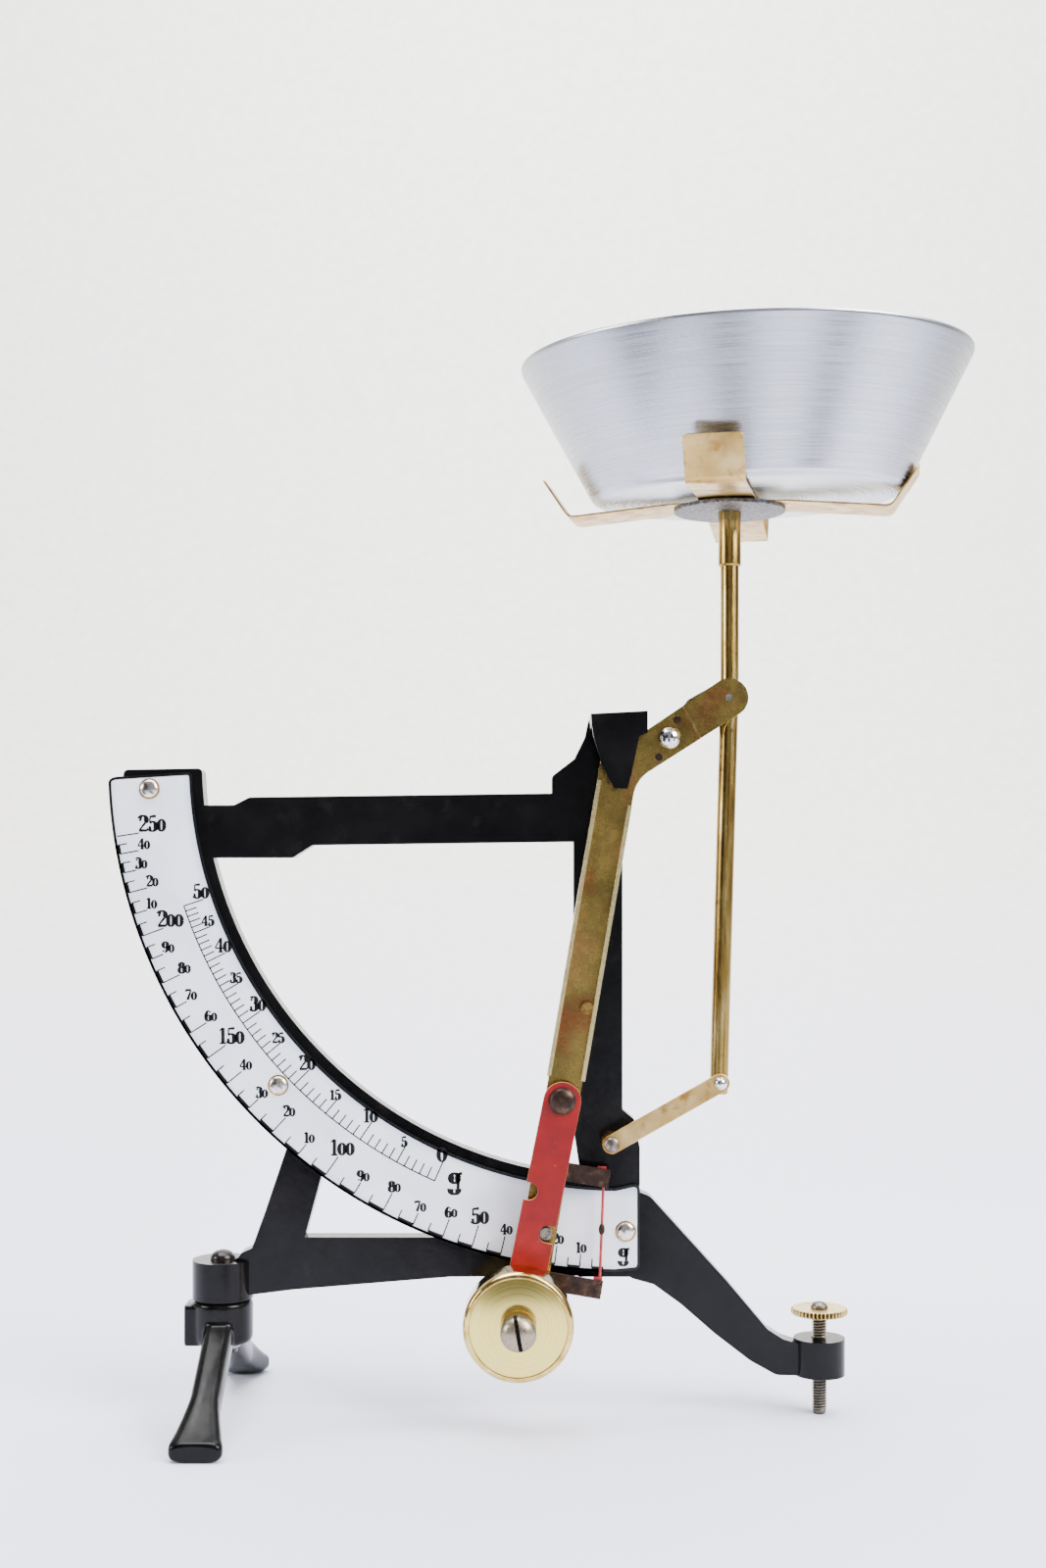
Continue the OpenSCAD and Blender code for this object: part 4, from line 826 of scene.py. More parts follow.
class MakeDialPrint(bpy.types.Operator):
    """Draws both scales of the dial: rim, lines, numerals and unit marks"""

    bl_idname = "letter_scale.dial_print"
    bl_label = "Dial markings"
    bl_options = {"REGISTER", "UNDO"}

    def execute(self, context):
        looks = prepared(context)
        self.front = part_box("dial_plate")[0][1] - 0.00003
        self.line = looks.print_line
        outer = self.law(np.arange(0, 251, 5.0), 190.61, 4.2, 34.81, 16.18)
        inner = self.law(np.arange(0, 51, 1.0), 806.52, 53.44, 32.79, 794.40)
        parts = [self.edge(), self.rim(outer),
            self.band(inner[0], inner[-1], INNER_LINE, INNER_LINE - self.line)]
        mass = np.arange(0, 251, 5)
        reach = np.where(mass % 20 == 0, 4.8, np.where(mass % 10 == 0, 3.2, 2.2))
        reach = np.where(mass % 50 == 0, 5.6, reach) * MM
        shown = mass > 0
        parts.append(self.lines(outer[shown], LINE_FOOT, LINE_FOOT - reach[shown]))
        unit = np.arange(0, 51)
        step = np.where(unit % 10 == 0, 5.3, np.where(unit % 5 == 0, 4.5, 3.0)) * MM
        parts.append(self.lines(inner, 0.116, 0.116 - step))
        for m, angle, r in zip(mass, outer, reach):
            if m and m % 10 == 0:
                big = m % 50 == 0
                text = str(m) if big else str(m % 100)
                lean = 0.95 if m == 250 else 0.55 if big else 0.85
                parts += self.number(text, angle, LINE_FOOT - r, 4.1 if big else 2.75, lean)
        for m, angle, r in zip(unit, inner, step):
            if m % 5 == 0:
                parts += self.number(str(m), angle, 0.1165 - r, 3.7 if m % 10 == 0 else 2.6, -0.1)
        parts += self.word("g", PIVOT[0] - 0.0413, PIVOT[2] - 0.1055, 5.2)
        parts += self.word("g", PIVOT[0] + 0.0013, PIVOT[2] - 0.1243, 4.2)
        piece("dial_markings", parts, "frame", "dial_enamel", "dial_print", (), 60)
        return {"FINISHED"}

    def law(self, mass, strength, alpha, beta, offset):
        """Angle of each mass on the dial, from the pendulum's law
        mass = strength * sin(alpha + q) / cos(beta - q) - offset, turned round by a table."""
        q = np.linspace(-6, 84, 4000)
        rad = np.radians
        grams = strength * np.sin(rad(alpha + q)) / np.cos(rad(beta - q)) - offset
        return rad(268 - np.interp(mass, grams, q))

    def flat(self, x, z):
        """Closed thin plate from a strip of x and z, shaped (n, 2), let 0.05 mm into the enamel."""
        edge = np.stack([x[:, 0], x[:, 1], x[:, 1], x[:, 0], x[:, 0]], 1)
        high = np.stack([z[:, 0], z[:, 1], z[:, 1], z[:, 0], z[:, 0]], 1)
        depth = self.front + np.array([0, 0, 1, 1, 0]) * 0.00005
        rows = np.stack([edge, np.broadcast_to(depth, edge.shape), high], -1)
        return grid(closed(rows))

    def band(self, start, end, r_out, r_in):
        """Part of a ring between two angles."""
        turn = np.linspace(start, end, 80)[:, None]
        r = np.array([[r_in, r_out]])
        return self.flat(PIVOT[0] + r * np.cos(turn), PIVOT[2] + r * np.sin(turn))

    def edge(self):
        """Black line along the whole edge of the plate."""
        line = np.array([inset(dial_outline(), d * MM) for d in (0.75, 0.03)])
        line = np.concatenate([line, line[:, :1]], 1)
        return self.flat(line[..., 0].T, line[..., 1].T)

    def rim(self, angles):
        """Black rim of the outer scale, thick and thin by turns from line to line."""
        turn = np.stack([np.linspace(a, b, 12) for a, b in zip(angles, angles[1:])]).ravel()
        thick = np.repeat(np.arange(len(angles) - 1) % 2 == 0, 12)
        r_in = np.where(thick, 0.1279, 0.12865)[:, None]
        r = np.concatenate([r_in, np.full_like(r_in, 0.1292)], 1)
        turn = turn[:, None]
        return self.flat(PIVOT[0] + r * np.cos(turn), PIVOT[2] + r * np.sin(turn))

    def lines(self, angles, start, end):
        """Radial lines as thin boxes, all from one array."""
        side = np.array([-0.5, 0.5]) * self.line
        r = np.stack(np.broadcast_arrays(start, end), -1) * np.ones((len(angles), 1))
        c, s = np.cos(angles)[:, None, None], np.sin(angles)[:, None, None]
        x = PIVOT[0] + r[..., None] * c - side * s
        z = PIVOT[2] + r[..., None] * s + side * c
        corner_x = np.stack([x[:, 0, 0], x[:, 0, 1], x[:, 1, 1], x[:, 1, 0]], 1)
        corner_z = np.stack([z[:, 0, 0], z[:, 0, 1], z[:, 1, 1], z[:, 1, 0]], 1)
        low = np.stack([corner_x, np.full_like(corner_x, self.front), corner_z], -1)
        high = low + [0, 0.00005, 0]
        points = np.concatenate([low, high], 1).reshape(-1, 3)
        box = np.array([[0, 1, 2, 3], [7, 6, 5, 4], [0, 4, 5, 1], [1, 5, 6, 2], [2, 6, 7, 3],
            [3, 7, 4, 0]])
        faces = (np.arange(len(angles))[:, None, None] * 8 + box).reshape(-1, 4)
        a, b, c, d = (points[faces[:6, k]] - points[:8].mean(0) for k in range(4))
        if (a * (np.cross(b, c) + np.cross(c, d))).sum() < 0:
            faces = faces[:, ::-1]
        return points, faces, np.zeros((len(points), 2))

    def number(self, text, angle, radius, height, lean):
        """Upright number whose lower edge stands on the inner end of its line."""
        x = PIVOT[0] + radius * math.cos(angle)
        z = PIVOT[2] + radius * math.sin(angle)
        wide = self.width(text) * height * MM
        return self.word(text, x - lean * wide / 2 * math.cos(angle), z + (height / 2 + 0.4) * MM,
            height)

    def width(self, text):
        """Width of a word in heights; noughts after the first figure are smaller."""
        return sum(NUMERALS[c][0] * (0.8 if c == "0" and len(text) > 1 else 1) for c in text)

    def word(self, text, x, z, height):
        """Parts of a word centred on x and z."""
        parts = []
        at = x - self.width(text) * height * MM / 2
        base = z - height * MM / 2
        for c in text:
            size = height * (0.76 if c == "0" and len(text) > 1 else 1) * MM
            wide, strokes = NUMERALS[c]
            parts += [self.stroke(kind, values, at, base, size) for kind, *values in strokes]
            at += wide * height * MM * (0.8 if c == "0" and len(text) > 1 else 1)
        return parts

    def stroke(self, kind, values, at, base, size):
        """One stroke as a thin plate: half its width is laid off on both sides of its middle."""
        if kind == "stem":
            x0, z0, x1, z1, w0, w1 = values
            t = np.linspace(0, 1, 2)
            mid = np.stack([x0 + (x1 - x0) * t, z0 + (z1 - z0) * t], 1)
            half = (w0 + (w1 - w0) * t) / 2 + 0.024 + 0.016 * (size < 0.0032)
        else:
            cx, cz, rx, rz, start, end = values
            turn = np.radians(np.linspace(start, end, 25))
            mid = np.stack([cx + rx * np.cos(turn), cz + rz * np.sin(turn)], 1)
            half = 0.055 + 0.105 * np.abs(np.cos(turn)) ** 1.5 + 0.016 * (size < 0.0032)
            half = np.minimum(half, rx)
        along = np.gradient(mid, axis=0)
        along /= np.linalg.norm(along, axis=1, keepdims=True)
        side = np.stack([-along[:, 1], along[:, 0]], 1) * half[:, None]
        x = at + size * np.stack([mid[:, 0] - side[:, 0], mid[:, 0] + side[:, 0]], 1)
        z = base + size * np.stack([mid[:, 1] - side[:, 1], mid[:, 1] + side[:, 1]], 1)
        return self.flat(x, z)


# ---- lever ----


class MakeLever(bpy.types.Operator):
    """Makes the channel, its rear plate, the trim ball and the small rivets of the lever"""

    bl_idname = "letter_scale.lever"
    bl_label = "Lever"
    bl_options = {"REGISTER", "UNDO"}

    def execute(self, context):
        looks = prepared(context)
        edge = looks.sheet_edge / MM
        brass, bronze = "lever_brass", "bronze"
        softened("lever_channel", "lever", brass, "lever_brass", edge)
        softened("lever_rear_plate", "rear_plate", bronze, "lever_brass", edge)
        softened("lever_rivets", "plate_rivets", bronze, "dark_bronze", 0.15)
        low, high, at = measured("trim_ball")
        at[1] = high[1] - 0.001
        r = (high[0] - low[0]) / 2 / MM
        ball = dome(r, r, 0.05, 28, math.pi * 0.62)
        ball = ball[ball[:, 1] > 0]
        profile = np.concatenate([ball, [(r - 0.05, 0.0), (2.0, 0.0), (2.0, -1.0), (0, -1.0)]])
        piece("trim_ball_steel", [lathe(profile, at, FRONT, 64)], "lever", "ball_steel",
            "ball_steel", ("trim_ball",), 50)
        return {"FINISHED"}


class MakePointer(bpy.types.Operator):
    """Makes the reading frame, the red wire with its feet, and the bead"""

    bl_idname = "letter_scale.pointer"
    bl_label = "Pointer"
    bl_options = {"REGISTER", "UNDO"}

    def execute(self, context):
        prepared(context)
        softened("pointer_frame", "reading_frame", "bronze", "dark_bronze", 0.2)
        softened("pointer_needle", "red_needle", "red_wire", "red_paint", 0.08)
        low, high, at = measured("reading_bead")
        wide = (high[0] - low[0]) / 2 / MM
        lean = math.radians(2.2)
        egg = dome(wide * 0.52, wide, 0, 24, math.pi)
        bead = lathe(egg, at, (math.sin(lean), 0, math.cos(lean)), 32)
        piece("needle_bead", [bead], "lever", "dark_bronze", "bronze", ("reading_bead",), 60)
        return {"FINISHED"}


# ---- weight ----

LEVER_LEAN = 9.7


class MakeWeight(bpy.types.Operator):
    """Makes the red strip, the turned weight, its collar and its slotted screw"""

    bl_idname = "letter_scale.weight"
    bl_label = "Flip-over weight"
    bl_options = {"REGISTER", "UNDO"}

    def execute(self, context):
        looks = prepared(context)
        softened("weight_strip", "red_strip", "red_paint", "red_paint", looks.sheet_edge / MM)
        low, high, at = measured("counterweight")
        at[1] = high[1]
        r, t = (high[0] - low[0]) / 2 / MM, (high[1] - low[1]) / MM
        # Cheese with a polished rim: a narrow flat, a round edge and a step down to the face
        side = rounded([(0, 0, 0), (r - 0.8, 0, 0), (r, 0.6, 0.5), (r, t - 0.9, 0.6),
            (r - 0.7, t - 0.1, 0.3), (r - 1.5, t - 0.1, 0.15), (r - 1.65, t - 0.25, 0)], 6)
        face = np.array([(r - 1.65, t - 0.25), (r - 3, t - 0.22), (6.0, t - 0.2), (0, t - 0.2)])
        rim = lathe(np.concatenate([side, [(0, t - 0.3)]]), at, FRONT, 128)
        piece("weight_body", [rim], "weight", "weight_brass", "polished_brass", ("counterweight",),
            30)
        cap = np.concatenate([face[::-1], [(r - 1.65, t - 0.8), (0, t - 0.8)]])
        piece("weight_face", [lathe(cap, at, FRONT, 128)], "weight", "weight_brass", "turned_face",
            (), 30)
        low, high, at = measured("weight_collar")
        at[1] = high[1]
        r, t = (high[0] - low[0]) / 2 / MM, (high[1] - low[1]) / MM
        ring = rounded([(0, 0, 0), (r, 0, 0.2), (r, t, 0.5), (0, t, 0)], 5)
        piece("brass_collar", [lathe(ring, at, FRONT, 64)], "weight", "weight_brass", "bush_brass",
            ("weight_collar",), 40)
        low, high, at = measured("weight_screw")
        at[1] = low[1]
        piece("slotted_screw", self.knob(at, 4.4, 2.8, (high[1] - low[1]) / MM), "weight",
            "screw_steel", "slotted_steel", ("weight_screw",), 40)
        low, high, at = measured("weight_rivet")
        at[1] = low[1] + 0.0015
        back = -(high[1] - at[1]) / MM
        shank = [(3.4, 0.05), (3.4, 0), (1.5, 0), (1.5, back), (0, back)]
        head = np.concatenate([dome(3.3, 1.4, 0.1), shank])
        piece("bronze_rivet", [lathe(head, at, FRONT, 48)], "lever", "dark_bronze", "bronze",
            ("weight_rivet",), 45)
        return {"FINISHED"}

    def knob(self, apex, radius, rise, shank_end):
        """Domed head as a height over a disc, and its shank. Across the slot the height is
        h = rise * sqrt(1 - (s * s + t * t) / R^2), and inside the slot it is at most rise - 1.3."""
        s = np.concatenate([-np.cos(np.linspace(0, 1.4, 14)) * radius, [-0.5, -0.42, -0.2]])
        s = np.sort(np.concatenate([s, [0.0], -s[::-1]]))[:, None]
        v = np.linspace(-1, 1, 33)
        t = v * np.sqrt(np.clip(radius**2 - s**2, 0, None))
        h = rise * np.sqrt(np.clip(1 - (s**2 + t**2) / radius**2, 0, 1))
        h = np.where(np.abs(s) < 0.45, np.minimum(h, rise - 1.3), h)
        under = np.full_like(h, -1.6)
        ring_s = np.concatenate([np.broadcast_to(s, t.shape), np.broadcast_to(s, t.shape)], 1)
        ring_t = np.concatenate([t, t[:, ::-1]], 1)
        ring_h = np.concatenate([h, under], 1)
        lean = math.radians(LEVER_LEAN)
        x = ring_s * math.cos(lean) - ring_t * math.sin(lean)
        z = ring_s * math.sin(lean) + ring_t * math.cos(lean)
        rows = np.stack([x, rise - ring_h, z], -1) * MM + apex
        rows = np.concatenate([rows, rows[:, :1]], 1)
        shank = [(0, -4.3), (2, -4.3), (2, -shank_end), (0, -shank_end)]
        # u is 0 on the slot's walls and floor, which the slotted steel paints black as shade, and 1
        # elsewhere
        clear = (np.abs(ring_s) > 0.45) | (ring_h < 0)
        clear = np.concatenate([clear, clear[:, :1]], 1).astype(float)
        return [grid(rows, np.stack([clear, clear], -1)), lathe(np.array(shank), apex, FRONT, 32)]


# ---- rod, carrier and link ----


class MakeRod(bpy.types.Operator):
    """Makes the bent rod, its sleeve and its pins"""

    bl_idname = "letter_scale.rod"
    bl_label = "Rod"
    bl_options = {"REGISTER", "UNDO"}

    def execute(self, context):
        prepared(context)
        top, low_pin = centre("rod_top_pin"), centre("rod_bottom_pin")
        sleeve = centre("rod_sleeve")
        disc_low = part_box("carrier_disc")[0][2]
        bend = np.array([sleeve[0], 0, top[2] + 0.003])
        low = np.array([low_pin[0], 0, low_pin[2]])
        end = low - (bend - low) / np.linalg.norm(bend - low) * 0.003
        corners = [(end[0], end[2], 0), (bend[0], bend[2], 0.006), (bend[0], disc_low, 0)]
        path = rounded(corners, 10)
        t = np.linspace(0, 1, 24)[1:-1, None]
        path = np.concatenate([path[:1], path[:1] + (path[1] - path[0]) * t, path[1:]])
        points = np.stack([path[:, 0], np.zeros(len(path)), path[:, 1]], 1)
        scale = np.ones((len(points), 2))
        scale[0] = 0.9
        points = np.insert(points, 1, points[0] + (points[1] - points[0]) * 0.12, 0)
        scale = np.insert(scale, 1, 1.0, 0)
        tube = sweep(points, (0, 1, 0), disc_section(2.3, 40), scale)
        piece("brass_rod", [tube], "rod", "rod_brass", "rod_brass", ("bowl_rod",), 40)
        low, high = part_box("rod_sleeve")
        h = (high[2] - low[2]) / MM
        shell = rounded([(0, 0, 0), (2.5, 0, 0.1), (2.86, 0.35, 0.2), (2.8, h * 0.5, 2),
            (2.85, h, 0.1), (0, h, 0)], 5)
        piece("rod_ferrule", [lathe(shell, (sleeve[0], sleeve[1], low[2]), UP, 64)], "rod",
            "bush_brass", "rod_brass", ("rod_sleeve",), 40)
        low, high, at = measured("rod_bottom_pin")
        at[1] = low[1] + 0.0017
        back = -(high[1] - at[1]) / MM
        profile = np.concatenate([dome(1.7, 1.7),
            [(1.65, -0.05), (0.8, -0.05), (0.8, back), (0, back)]])
        piece("ball_pin", [lathe(profile, at, FRONT, 40)], "rod", "ball_steel", "ball_steel",
            ("rod_bottom_pin",), 45)
        return {"FINISHED"}


class MakeCarrier(bpy.types.Operator):
    """Makes the carrier disc and the two crossed strips with their bent ends"""

    bl_idname = "letter_scale.carrier"
    bl_label = "Bowl carrier"
    bl_options = {"REGISTER", "UNDO"}

    def execute(self, context):
        prepared(context)
        low, high, at = measured("carrier_disc")
        at[2] = low[2]
        r, t = (high[0] - low[0]) / 2 / MM, (high[2] - low[2]) / MM
        profile = rounded([(0, 0, 0), (r, 0, 0.3), (r, t, 0.3), (0, t, 0)], 5)
        piece("steel_disc", [lathe(profile, at, UP, 96)], "rod", "disc_steel", "grey_steel",
            ("carrier_disc",), 45)
        # Strip, in mm: flat past the disc, drooping to its bend, then a tip that rises at a slope
        thick, wide, flat, reach, tip, corner = 0.5, 14.0, r + 0.3, 39.8, 11.8, 1.2
        drop, slope = (reach - flat) * math.tan(math.radians(5)), math.radians(56)
        for node, name, turn in (("spider_lower", "lower_strip", -11),
                ("spider_upper", "upper_strip", 79)):
            base = high[2] / MM + (0 if node == "spider_lower" else thick) + thick / 2
            half = [(0, 0, 0), (flat, 0, 2), (reach, -drop, 1.6), (reach + tip * math.cos(slope),
                -drop + tip * math.sin(slope), 0)]
            half = rounded(half, 8)
            run = np.concatenate([half[::-1][:-1] * [-1, 1], half])
            fine = np.linspace(0, 1, 5)[1:-1]
            first = run[0] + (run[1] - run[0]) * fine[:, None] * 0.2
            last = run[-2] + (run[-1] - run[-2]) * (0.8 + fine[:, None] * 0.2)
            run = np.concatenate([run[:1], first, run[1:-1], last, run[-1:]])
            a = math.radians(turn)
            along = np.array([math.cos(a), math.sin(a), 0])
            across = np.array([-math.sin(a), math.cos(a), 0])
            path = (at * [1, 1, 0] + run[:, :1] * MM * along + (base + run[:, 1:]) * MM
                * np.array([0, 0, 1]))
            gone = np.concatenate([[0], np.cumsum(np.linalg.norm(np.diff(run, axis=0), axis=1))])
            gap = np.minimum(gone, gone[-1] - gone)
            drawn_in = corner * (1
                - np.sqrt(np.clip(1 - ((corner - gap) / corner).clip(0) ** 2, 0, 1)))
            scale = np.stack([1 - 2 * drawn_in / wide * 0.8, np.ones(len(run))], 1)
            strip = sweep(path, across, bar_section(wide, thick, 0.16), scale)
            piece(name, [strip], "rod", "strip_brass", "strip_brass", (node,), 40)
        return {"FINISHED"}


class MakeLink(bpy.types.Operator):
    """Makes the lower link and the head of its stud"""

    bl_idname = "letter_scale.link"
    bl_label = "Lower link"
    bl_options = {"REGISTER", "UNDO"}

    def execute(self, context):
        looks = prepared(context)
        softened("lower_link", "link", "strip_brass", "strip_brass", looks.sheet_edge / MM)
        low, high, at = measured("link_stud")
        at[1] = low[1] + 0.0008
        back = -(high[1] - at[1]) / MM
        ring = np.concatenate([dome(1.85, 0.7, 0.1, 12),
            [(1.9, 0), (1.3, 0), (1.3, back), (0, back)]])
        piece("stud_head", [lathe(ring, at, FRONT, 40)], "frame", "strip_brass", "oxide_steel",
            ("link_stud",), 45)
        return {"FINISHED"}


# ---- bowl ----


class MakeBowl(bpy.types.Operator):
    """Spins the bowl: thin straight wall, small round foot and a dressed rim"""

    bl_idname = "letter_scale.bowl"
    bl_label = "Bowl"
    bl_options = {"REGISTER", "UNDO"}

    def execute(self, context):
        looks = prepared(context)
        axis = np.array(BOWL_SEAT["axis"])
        wall, h, base, rim = 0.6, 34.2, 38.5, 56.0
        at = np.array(BOWL_SEAT["pos_m"]) - axis * wall * MM
        bead = looks.rim_bead / MM
        out = [(0, 0, 0), (base * 0.5, 0, 0), (base, 0.0, 2.2), (rim - 0.25, h - 1.3, 0.4),
            (rim, h - 0.7, 0.4), (rim - 0.05, h, 0.3), (rim - bead, h, 0.3),
            (rim - bead - 0.1, h - 1.2, 0.5), (base - wall * 0.9, wall, 2.0), (base * 0.5, wall, 0),
            (0, wall, 0)]
        profile = rounded(out, 8)
        wide = np.linspace(0, 1, 14)[1:-1]
        steps = [profile[:1]]
        for a, b in zip(profile, profile[1:]):
            if np.linalg.norm(b - a) > 5:
                steps.append(a + (b - a) * wide[:, None])
            steps.append(b[None])
        piece("spun_bowl", [lathe(np.concatenate(steps), at, axis, 160)], "bowl", "bowl_aluminium",
            "aluminium", ("bowl",), 40)
        return {"FINISHED"}


# ---- foot and levelling screw ----


class MakeFoot(bpy.types.Operator):
    """Casts the folding foot: hub, two tapering legs with flared soles, and the stop lug"""

    bl_idname = "letter_scale.foot"
    bl_label = "Folding foot"
    bl_options = {"REGISTER", "UNDO"}

    def execute(self, context):
        prepared(context)
        low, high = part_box("folding_foot")
        axis = centre("foot_washer")
        axis[2] = 0
        top = high[2] / MM
        hub = rounded([(0, top - 11, 0), (7.1, top - 11, 1.0), (7.7, top - 9.6, 1.0),
            (7.7, top - 0.6, 0.6), (7.1, top, 0.5), (0, top, 0)], 5)
        reach = (high[1] - low[1]) / 2 / MM
        parts = [lathe(hub, axis, UP, 72)]
        parts += [self.leg(axis, side, reach, top) for side in (-1, 1)] + [self.lug(axis, top)]
        foot = piece("cast_foot", parts, "foot", "cast_black", "black_enamel", ("folding_foot",))
        remesh = foot.modifiers.new("Remesh", "REMESH")
        remesh.mode, remesh.voxel_size = "VOXEL", 0.00042
        smooth = foot.modifiers.new("Smooth", "SMOOTH")
        smooth.factor, smooth.iterations = 0.5, 7
        graph = bpy.context.evaluated_depsgraph_get()
        cast = bpy.data.meshes.new_from_object(foot.evaluated_get(graph))
        foot.modifiers.clear()
        foot.data = cast
        cast.shade_smooth()
        self.rivet("foot_rivet_head", "foot_rivet")
        return {"FINISHED"}

    def leg(self, axis, side, reach, top):
        """Leg as a superellipse section whose middle, half height and half width are smooth
        functions of the way out: it drops from the hub, thins, and flares into its sole."""
        u = np.linspace(0, 1, 60)
        out = 4 + (reach - 4.0) * u
        upper = (top - 3.0) * (1 - u) ** 1.1 + 4.6 * u + 1.0 * np.sin(math.pi * u)
        lower = np.maximum((top - 11.0) * (1 - u * 1.1) - 1.0 * np.sin(math.pi * u), 0)
        flare = np.clip((u - 0.6) / 0.4, 0, 1)
        half_w = 3.7 + 3.3 * flare**1.3
        shut = np.clip((1 - u) / 0.05, 0, 1) ** 0.5
        half_w = half_w * (0.8 + 0.2 * shut)
        mid, half_h = (upper + lower) / 2, (upper - lower) / 2
        turn = np.linspace(0, TURN, 41)
        c, s = np.cos(turn), np.sin(turn)
        power = 2 / 3.4
        cross = np.sign(c) * np.abs(c) ** power
        high = np.sign(s) * np.abs(s) ** power
        x = axis[0] / MM + half_w[:, None] * cross
        y = axis[1] / MM + side * out[:, None] * np.ones(len(turn))
        z = mid[:, None] + half_h[:, None] * high
        z = np.maximum(z, 0.0)
        rows = np.stack([x, y, z], -1) * MM
        return grid(closed(rows))

    def lug(self, axis, top):
        """Stop lug: a rounded bar that stands out of the hub's left side."""
        level = np.linspace(top - 11.2, top - 1.0, 12)
        side, middle = np.full(12, axis[0] / MM - 7.0), np.full(12, axis[1] / MM)
        points = np.stack([side, middle, level], 1) * MM
        return sweep(points, (0, 1, 0), bar_section(9.0, 4.6, 1.0, 4))

    def rivet(self, name, node):
        """Domed head above the hub and the closing head below it, on one shank."""
        low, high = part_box(node)
        at = centre(node)
        at[2] = 0
        shoulder = (high[2] - 0.0024) / MM
        bottom = low[2] / MM
        profile = np.concatenate([dome(3.15, 2.2, shoulder + 0.2), [(3.2, shoulder),
            (2.5, shoulder), (2.5, bottom + 1.4), (3.7, bottom + 1.4), (3.8, bottom + 1.2),
            (3.7, bottom), (0, bottom)]])
        piece(name, [lathe(profile, at, UP, 56)], "frame", "rivet_black", "black_rivet", (node,),
            45)


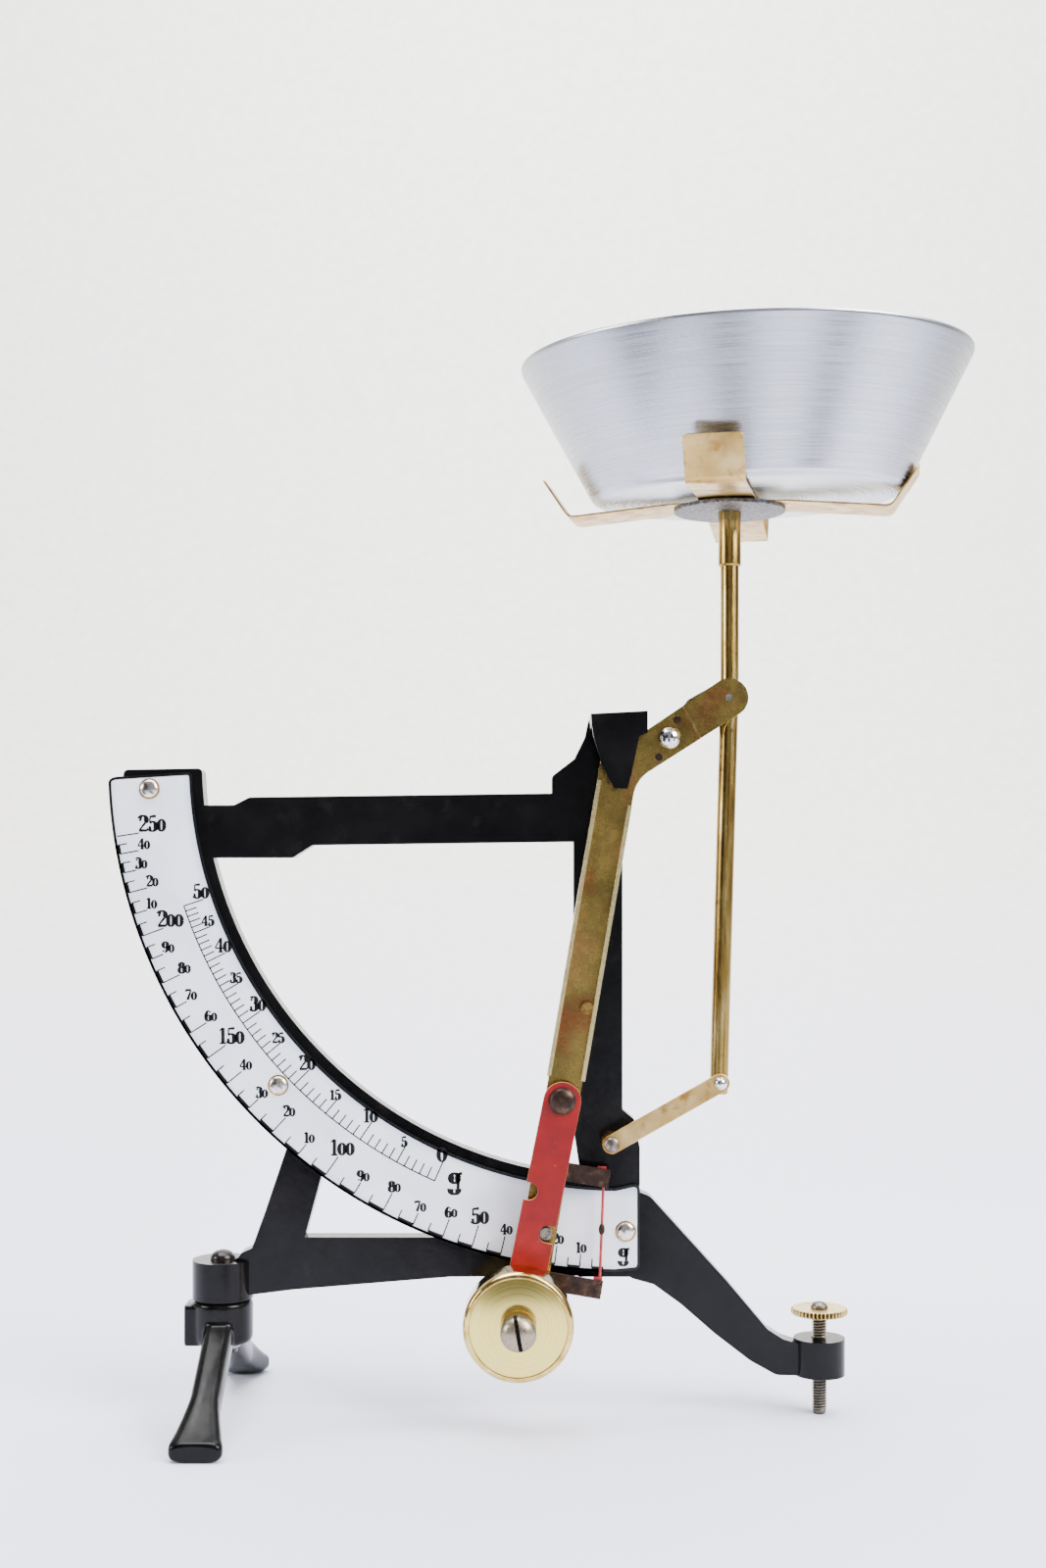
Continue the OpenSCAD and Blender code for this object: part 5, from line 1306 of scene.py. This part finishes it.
class MakeLevellingScrew(bpy.types.Operator):
    """Cuts the levelling screw's thread and knurls its wheel"""

    bl_idname = "letter_scale.levelling_screw"
    bl_label = "Levelling screw"
    bl_options = {"REGISTER", "UNDO"}

    def execute(self, context):
        looks = prepared(context)
        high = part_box("leveling_screw")[1]
        wheel_low, wheel_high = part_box("knurled_wheel")
        at = centre("leveling_screw")
        at[2] = 0
        pitch = looks.thread_pitch / MM
        top = wheel_low[2] / MM
        turn = np.linspace(0, TURN, 37)
        z = np.linspace(0, top, int(top / pitch * 10))
        # Thread: a triangle wave of z less the pitch times the turn, faded out at the tip
        phase = (z[:, None] / pitch - turn[None] / TURN) % 1.0
        ridge = 1 - np.abs(2 * phase - 1)
        fade = np.clip((z - 0.8) / 0.8, 0, 1)[:, None]
        root, deep = 1.46, 0.52
        rise = (ridge * fade + (1 - fade) * 0.35) * np.clip((top - z) / 0.6, 0.15, 1)[:, None]
        r = root + deep * rise
        r = np.minimum(r, 1.42 + 0.6 * np.clip(z / 1.2, 0, 1)[:, None])
        body = np.stack([r * np.cos(turn), r * np.sin(turn), np.broadcast_to(z[:, None], r.shape)],
            -1) * MM + at
        # UV for the painted shade: u is 0 in the thread's roots, which the material paints black,
        # and 1 on its crests
        shade = np.stack([np.clip((r - 1.46) / 0.5, 0, 1),
            np.broadcast_to(z[:, None] * MM, r.shape)], -1)
        shade = np.concatenate([shade[:1], shade, shade[-1:]])
        thread = grid(closed(body), shade)
        wheel_top = wheel_high[2] / MM
        cap = dome(2.2, high[2] / MM - wheel_top, wheel_top, 12)
        stem = [(2.2, wheel_top), (1.45, wheel_top), (1.45, top - 0.2), (0, top - 0.2)]
        end = lathe(np.concatenate([cap, stem]), at, UP, 40)
        piece("threaded_shank", [thread], "screw", "screw_steel", "thread_steel",
            ("leveling_screw",), 50)
        piece("screw_end", [end], "screw", "screw_steel", "oxide_steel", (), 50)
        # Wheel: bored to clear the screw's end. The rim's radius dips by a cosine once per
        # knurl, and its edges are chamfered
        teeth, radius, h = 42, (wheel_high[0] - wheel_low[0]) / 2 / MM, wheel_top - top
        turn = np.linspace(0, TURN, teeth * 6 + 1)
        profile = rounded([(1.6, 0.05, 0), (radius - 0.35, 0.05, 0.2), (radius, 0.35, 0.2),
            (radius, h - 0.35, 0.2), (radius - 0.35, h, 0.2), (radius - 1.4, h, 0.3),
            (radius - 1.8, h - 0.15, 0.3), (1.6, h - 0.15, 0), (1.6, 0.05, 0)], 4)
        depth = np.clip((profile[:, 0] - (radius - 0.4)) / 0.4, 0, 1)[:, None]
        r = profile[:, :1] - 0.38 * depth * (1 - np.cos(turn * teeth))
        z = np.broadcast_to(profile[:, 1:] + top, r.shape)
        rows = np.stack([r * np.cos(turn), r * np.sin(turn), z], -1) * MM + at
        # u is 0 between the knurls, where the material paints shade, and 1 on their crests
        uv = np.stack(np.broadcast_arrays(1 - depth * (1 - np.cos(turn * teeth)) / 2,
            profile[:, :1] * MM), -1)
        piece("knurled_nut", [grid(rows, uv)], "wheel", "wheel_brass", "knurled_brass",
            ("knurled_wheel",), 35)
        return {"FINISHED"}


class FinishHardware(bpy.types.Operator):
    """Gives the bushes, pins and washers of the frame their metal"""

    bl_idname = "letter_scale.hardware"
    bl_label = "Bushes and pins"
    bl_options = {"REGISTER", "UNDO"}

    def execute(self, context):
        prepared(context)
        metals = {"rear_bush": "bush_brass", "front_bush": "black_enamel",
            "pivot_collar": "bush_brass", "link_spacer": "bush_brass",
            "weight_washer": "bush_brass", "spider_rivet": "bush_brass",
            "upper_stop_pin": "bush_brass", "lower_stop_pin": "oxide_steel",
            "pointer_rivets": "bronze", "pivot_axle": "drawn_steel", "rod_top_pin": "drawn_steel",
            "foot_washer": "drawn_steel"}
        for node, metal in metals.items():
            mesh = NODES[node].data
            mesh.materials.clear()
            mesh.materials.append(MATERIALS[metal])
        return {"FINISHED"}


class LetterScalePanel(bpy.types.Panel):
    """Lists the sizes, the colours and the pieces of the letter scale"""

    bl_idname = "VIEW3D_PT_letter_scale"
    bl_label = "Letter Scale"
    bl_space_type = "VIEW_3D"
    bl_region_type = "UI"
    bl_category = "Letter Scale"

    def draw(self, context):
        looks = context.scene.letter_scale
        for name in LetterScaleLooks.__annotations__:
            self.layout.prop(looks, name)
        for operator in OPERATORS:
            self.layout.operator(operator.bl_idname)


OPERATORS = (MakeStage, MakeCasting, MakeDial, MakeDialPrint, MakeLever, MakePointer, MakeWeight,
    MakeRod, MakeCarrier, MakeLink, MakeBowl, MakeFoot, MakeLevellingScrew, FinishHardware)
CLASSES = (LetterScaleLooks, *OPERATORS, LetterScalePanel)


def register():
    for cls in CLASSES:
        bpy.utils.register_class(cls)
    bpy.types.Scene.letter_scale = PointerProperty(type=LetterScaleLooks)


def unregister():
    del bpy.types.Scene.letter_scale
    for cls in reversed(CLASSES):
        bpy.utils.unregister_class(cls)


def main():
    """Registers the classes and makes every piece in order."""
    register()
    for operator in OPERATORS:
        group, name = operator.bl_idname.split(".")
        getattr(getattr(bpy.ops, group), name)()


if __name__ == "__main__":
    main()
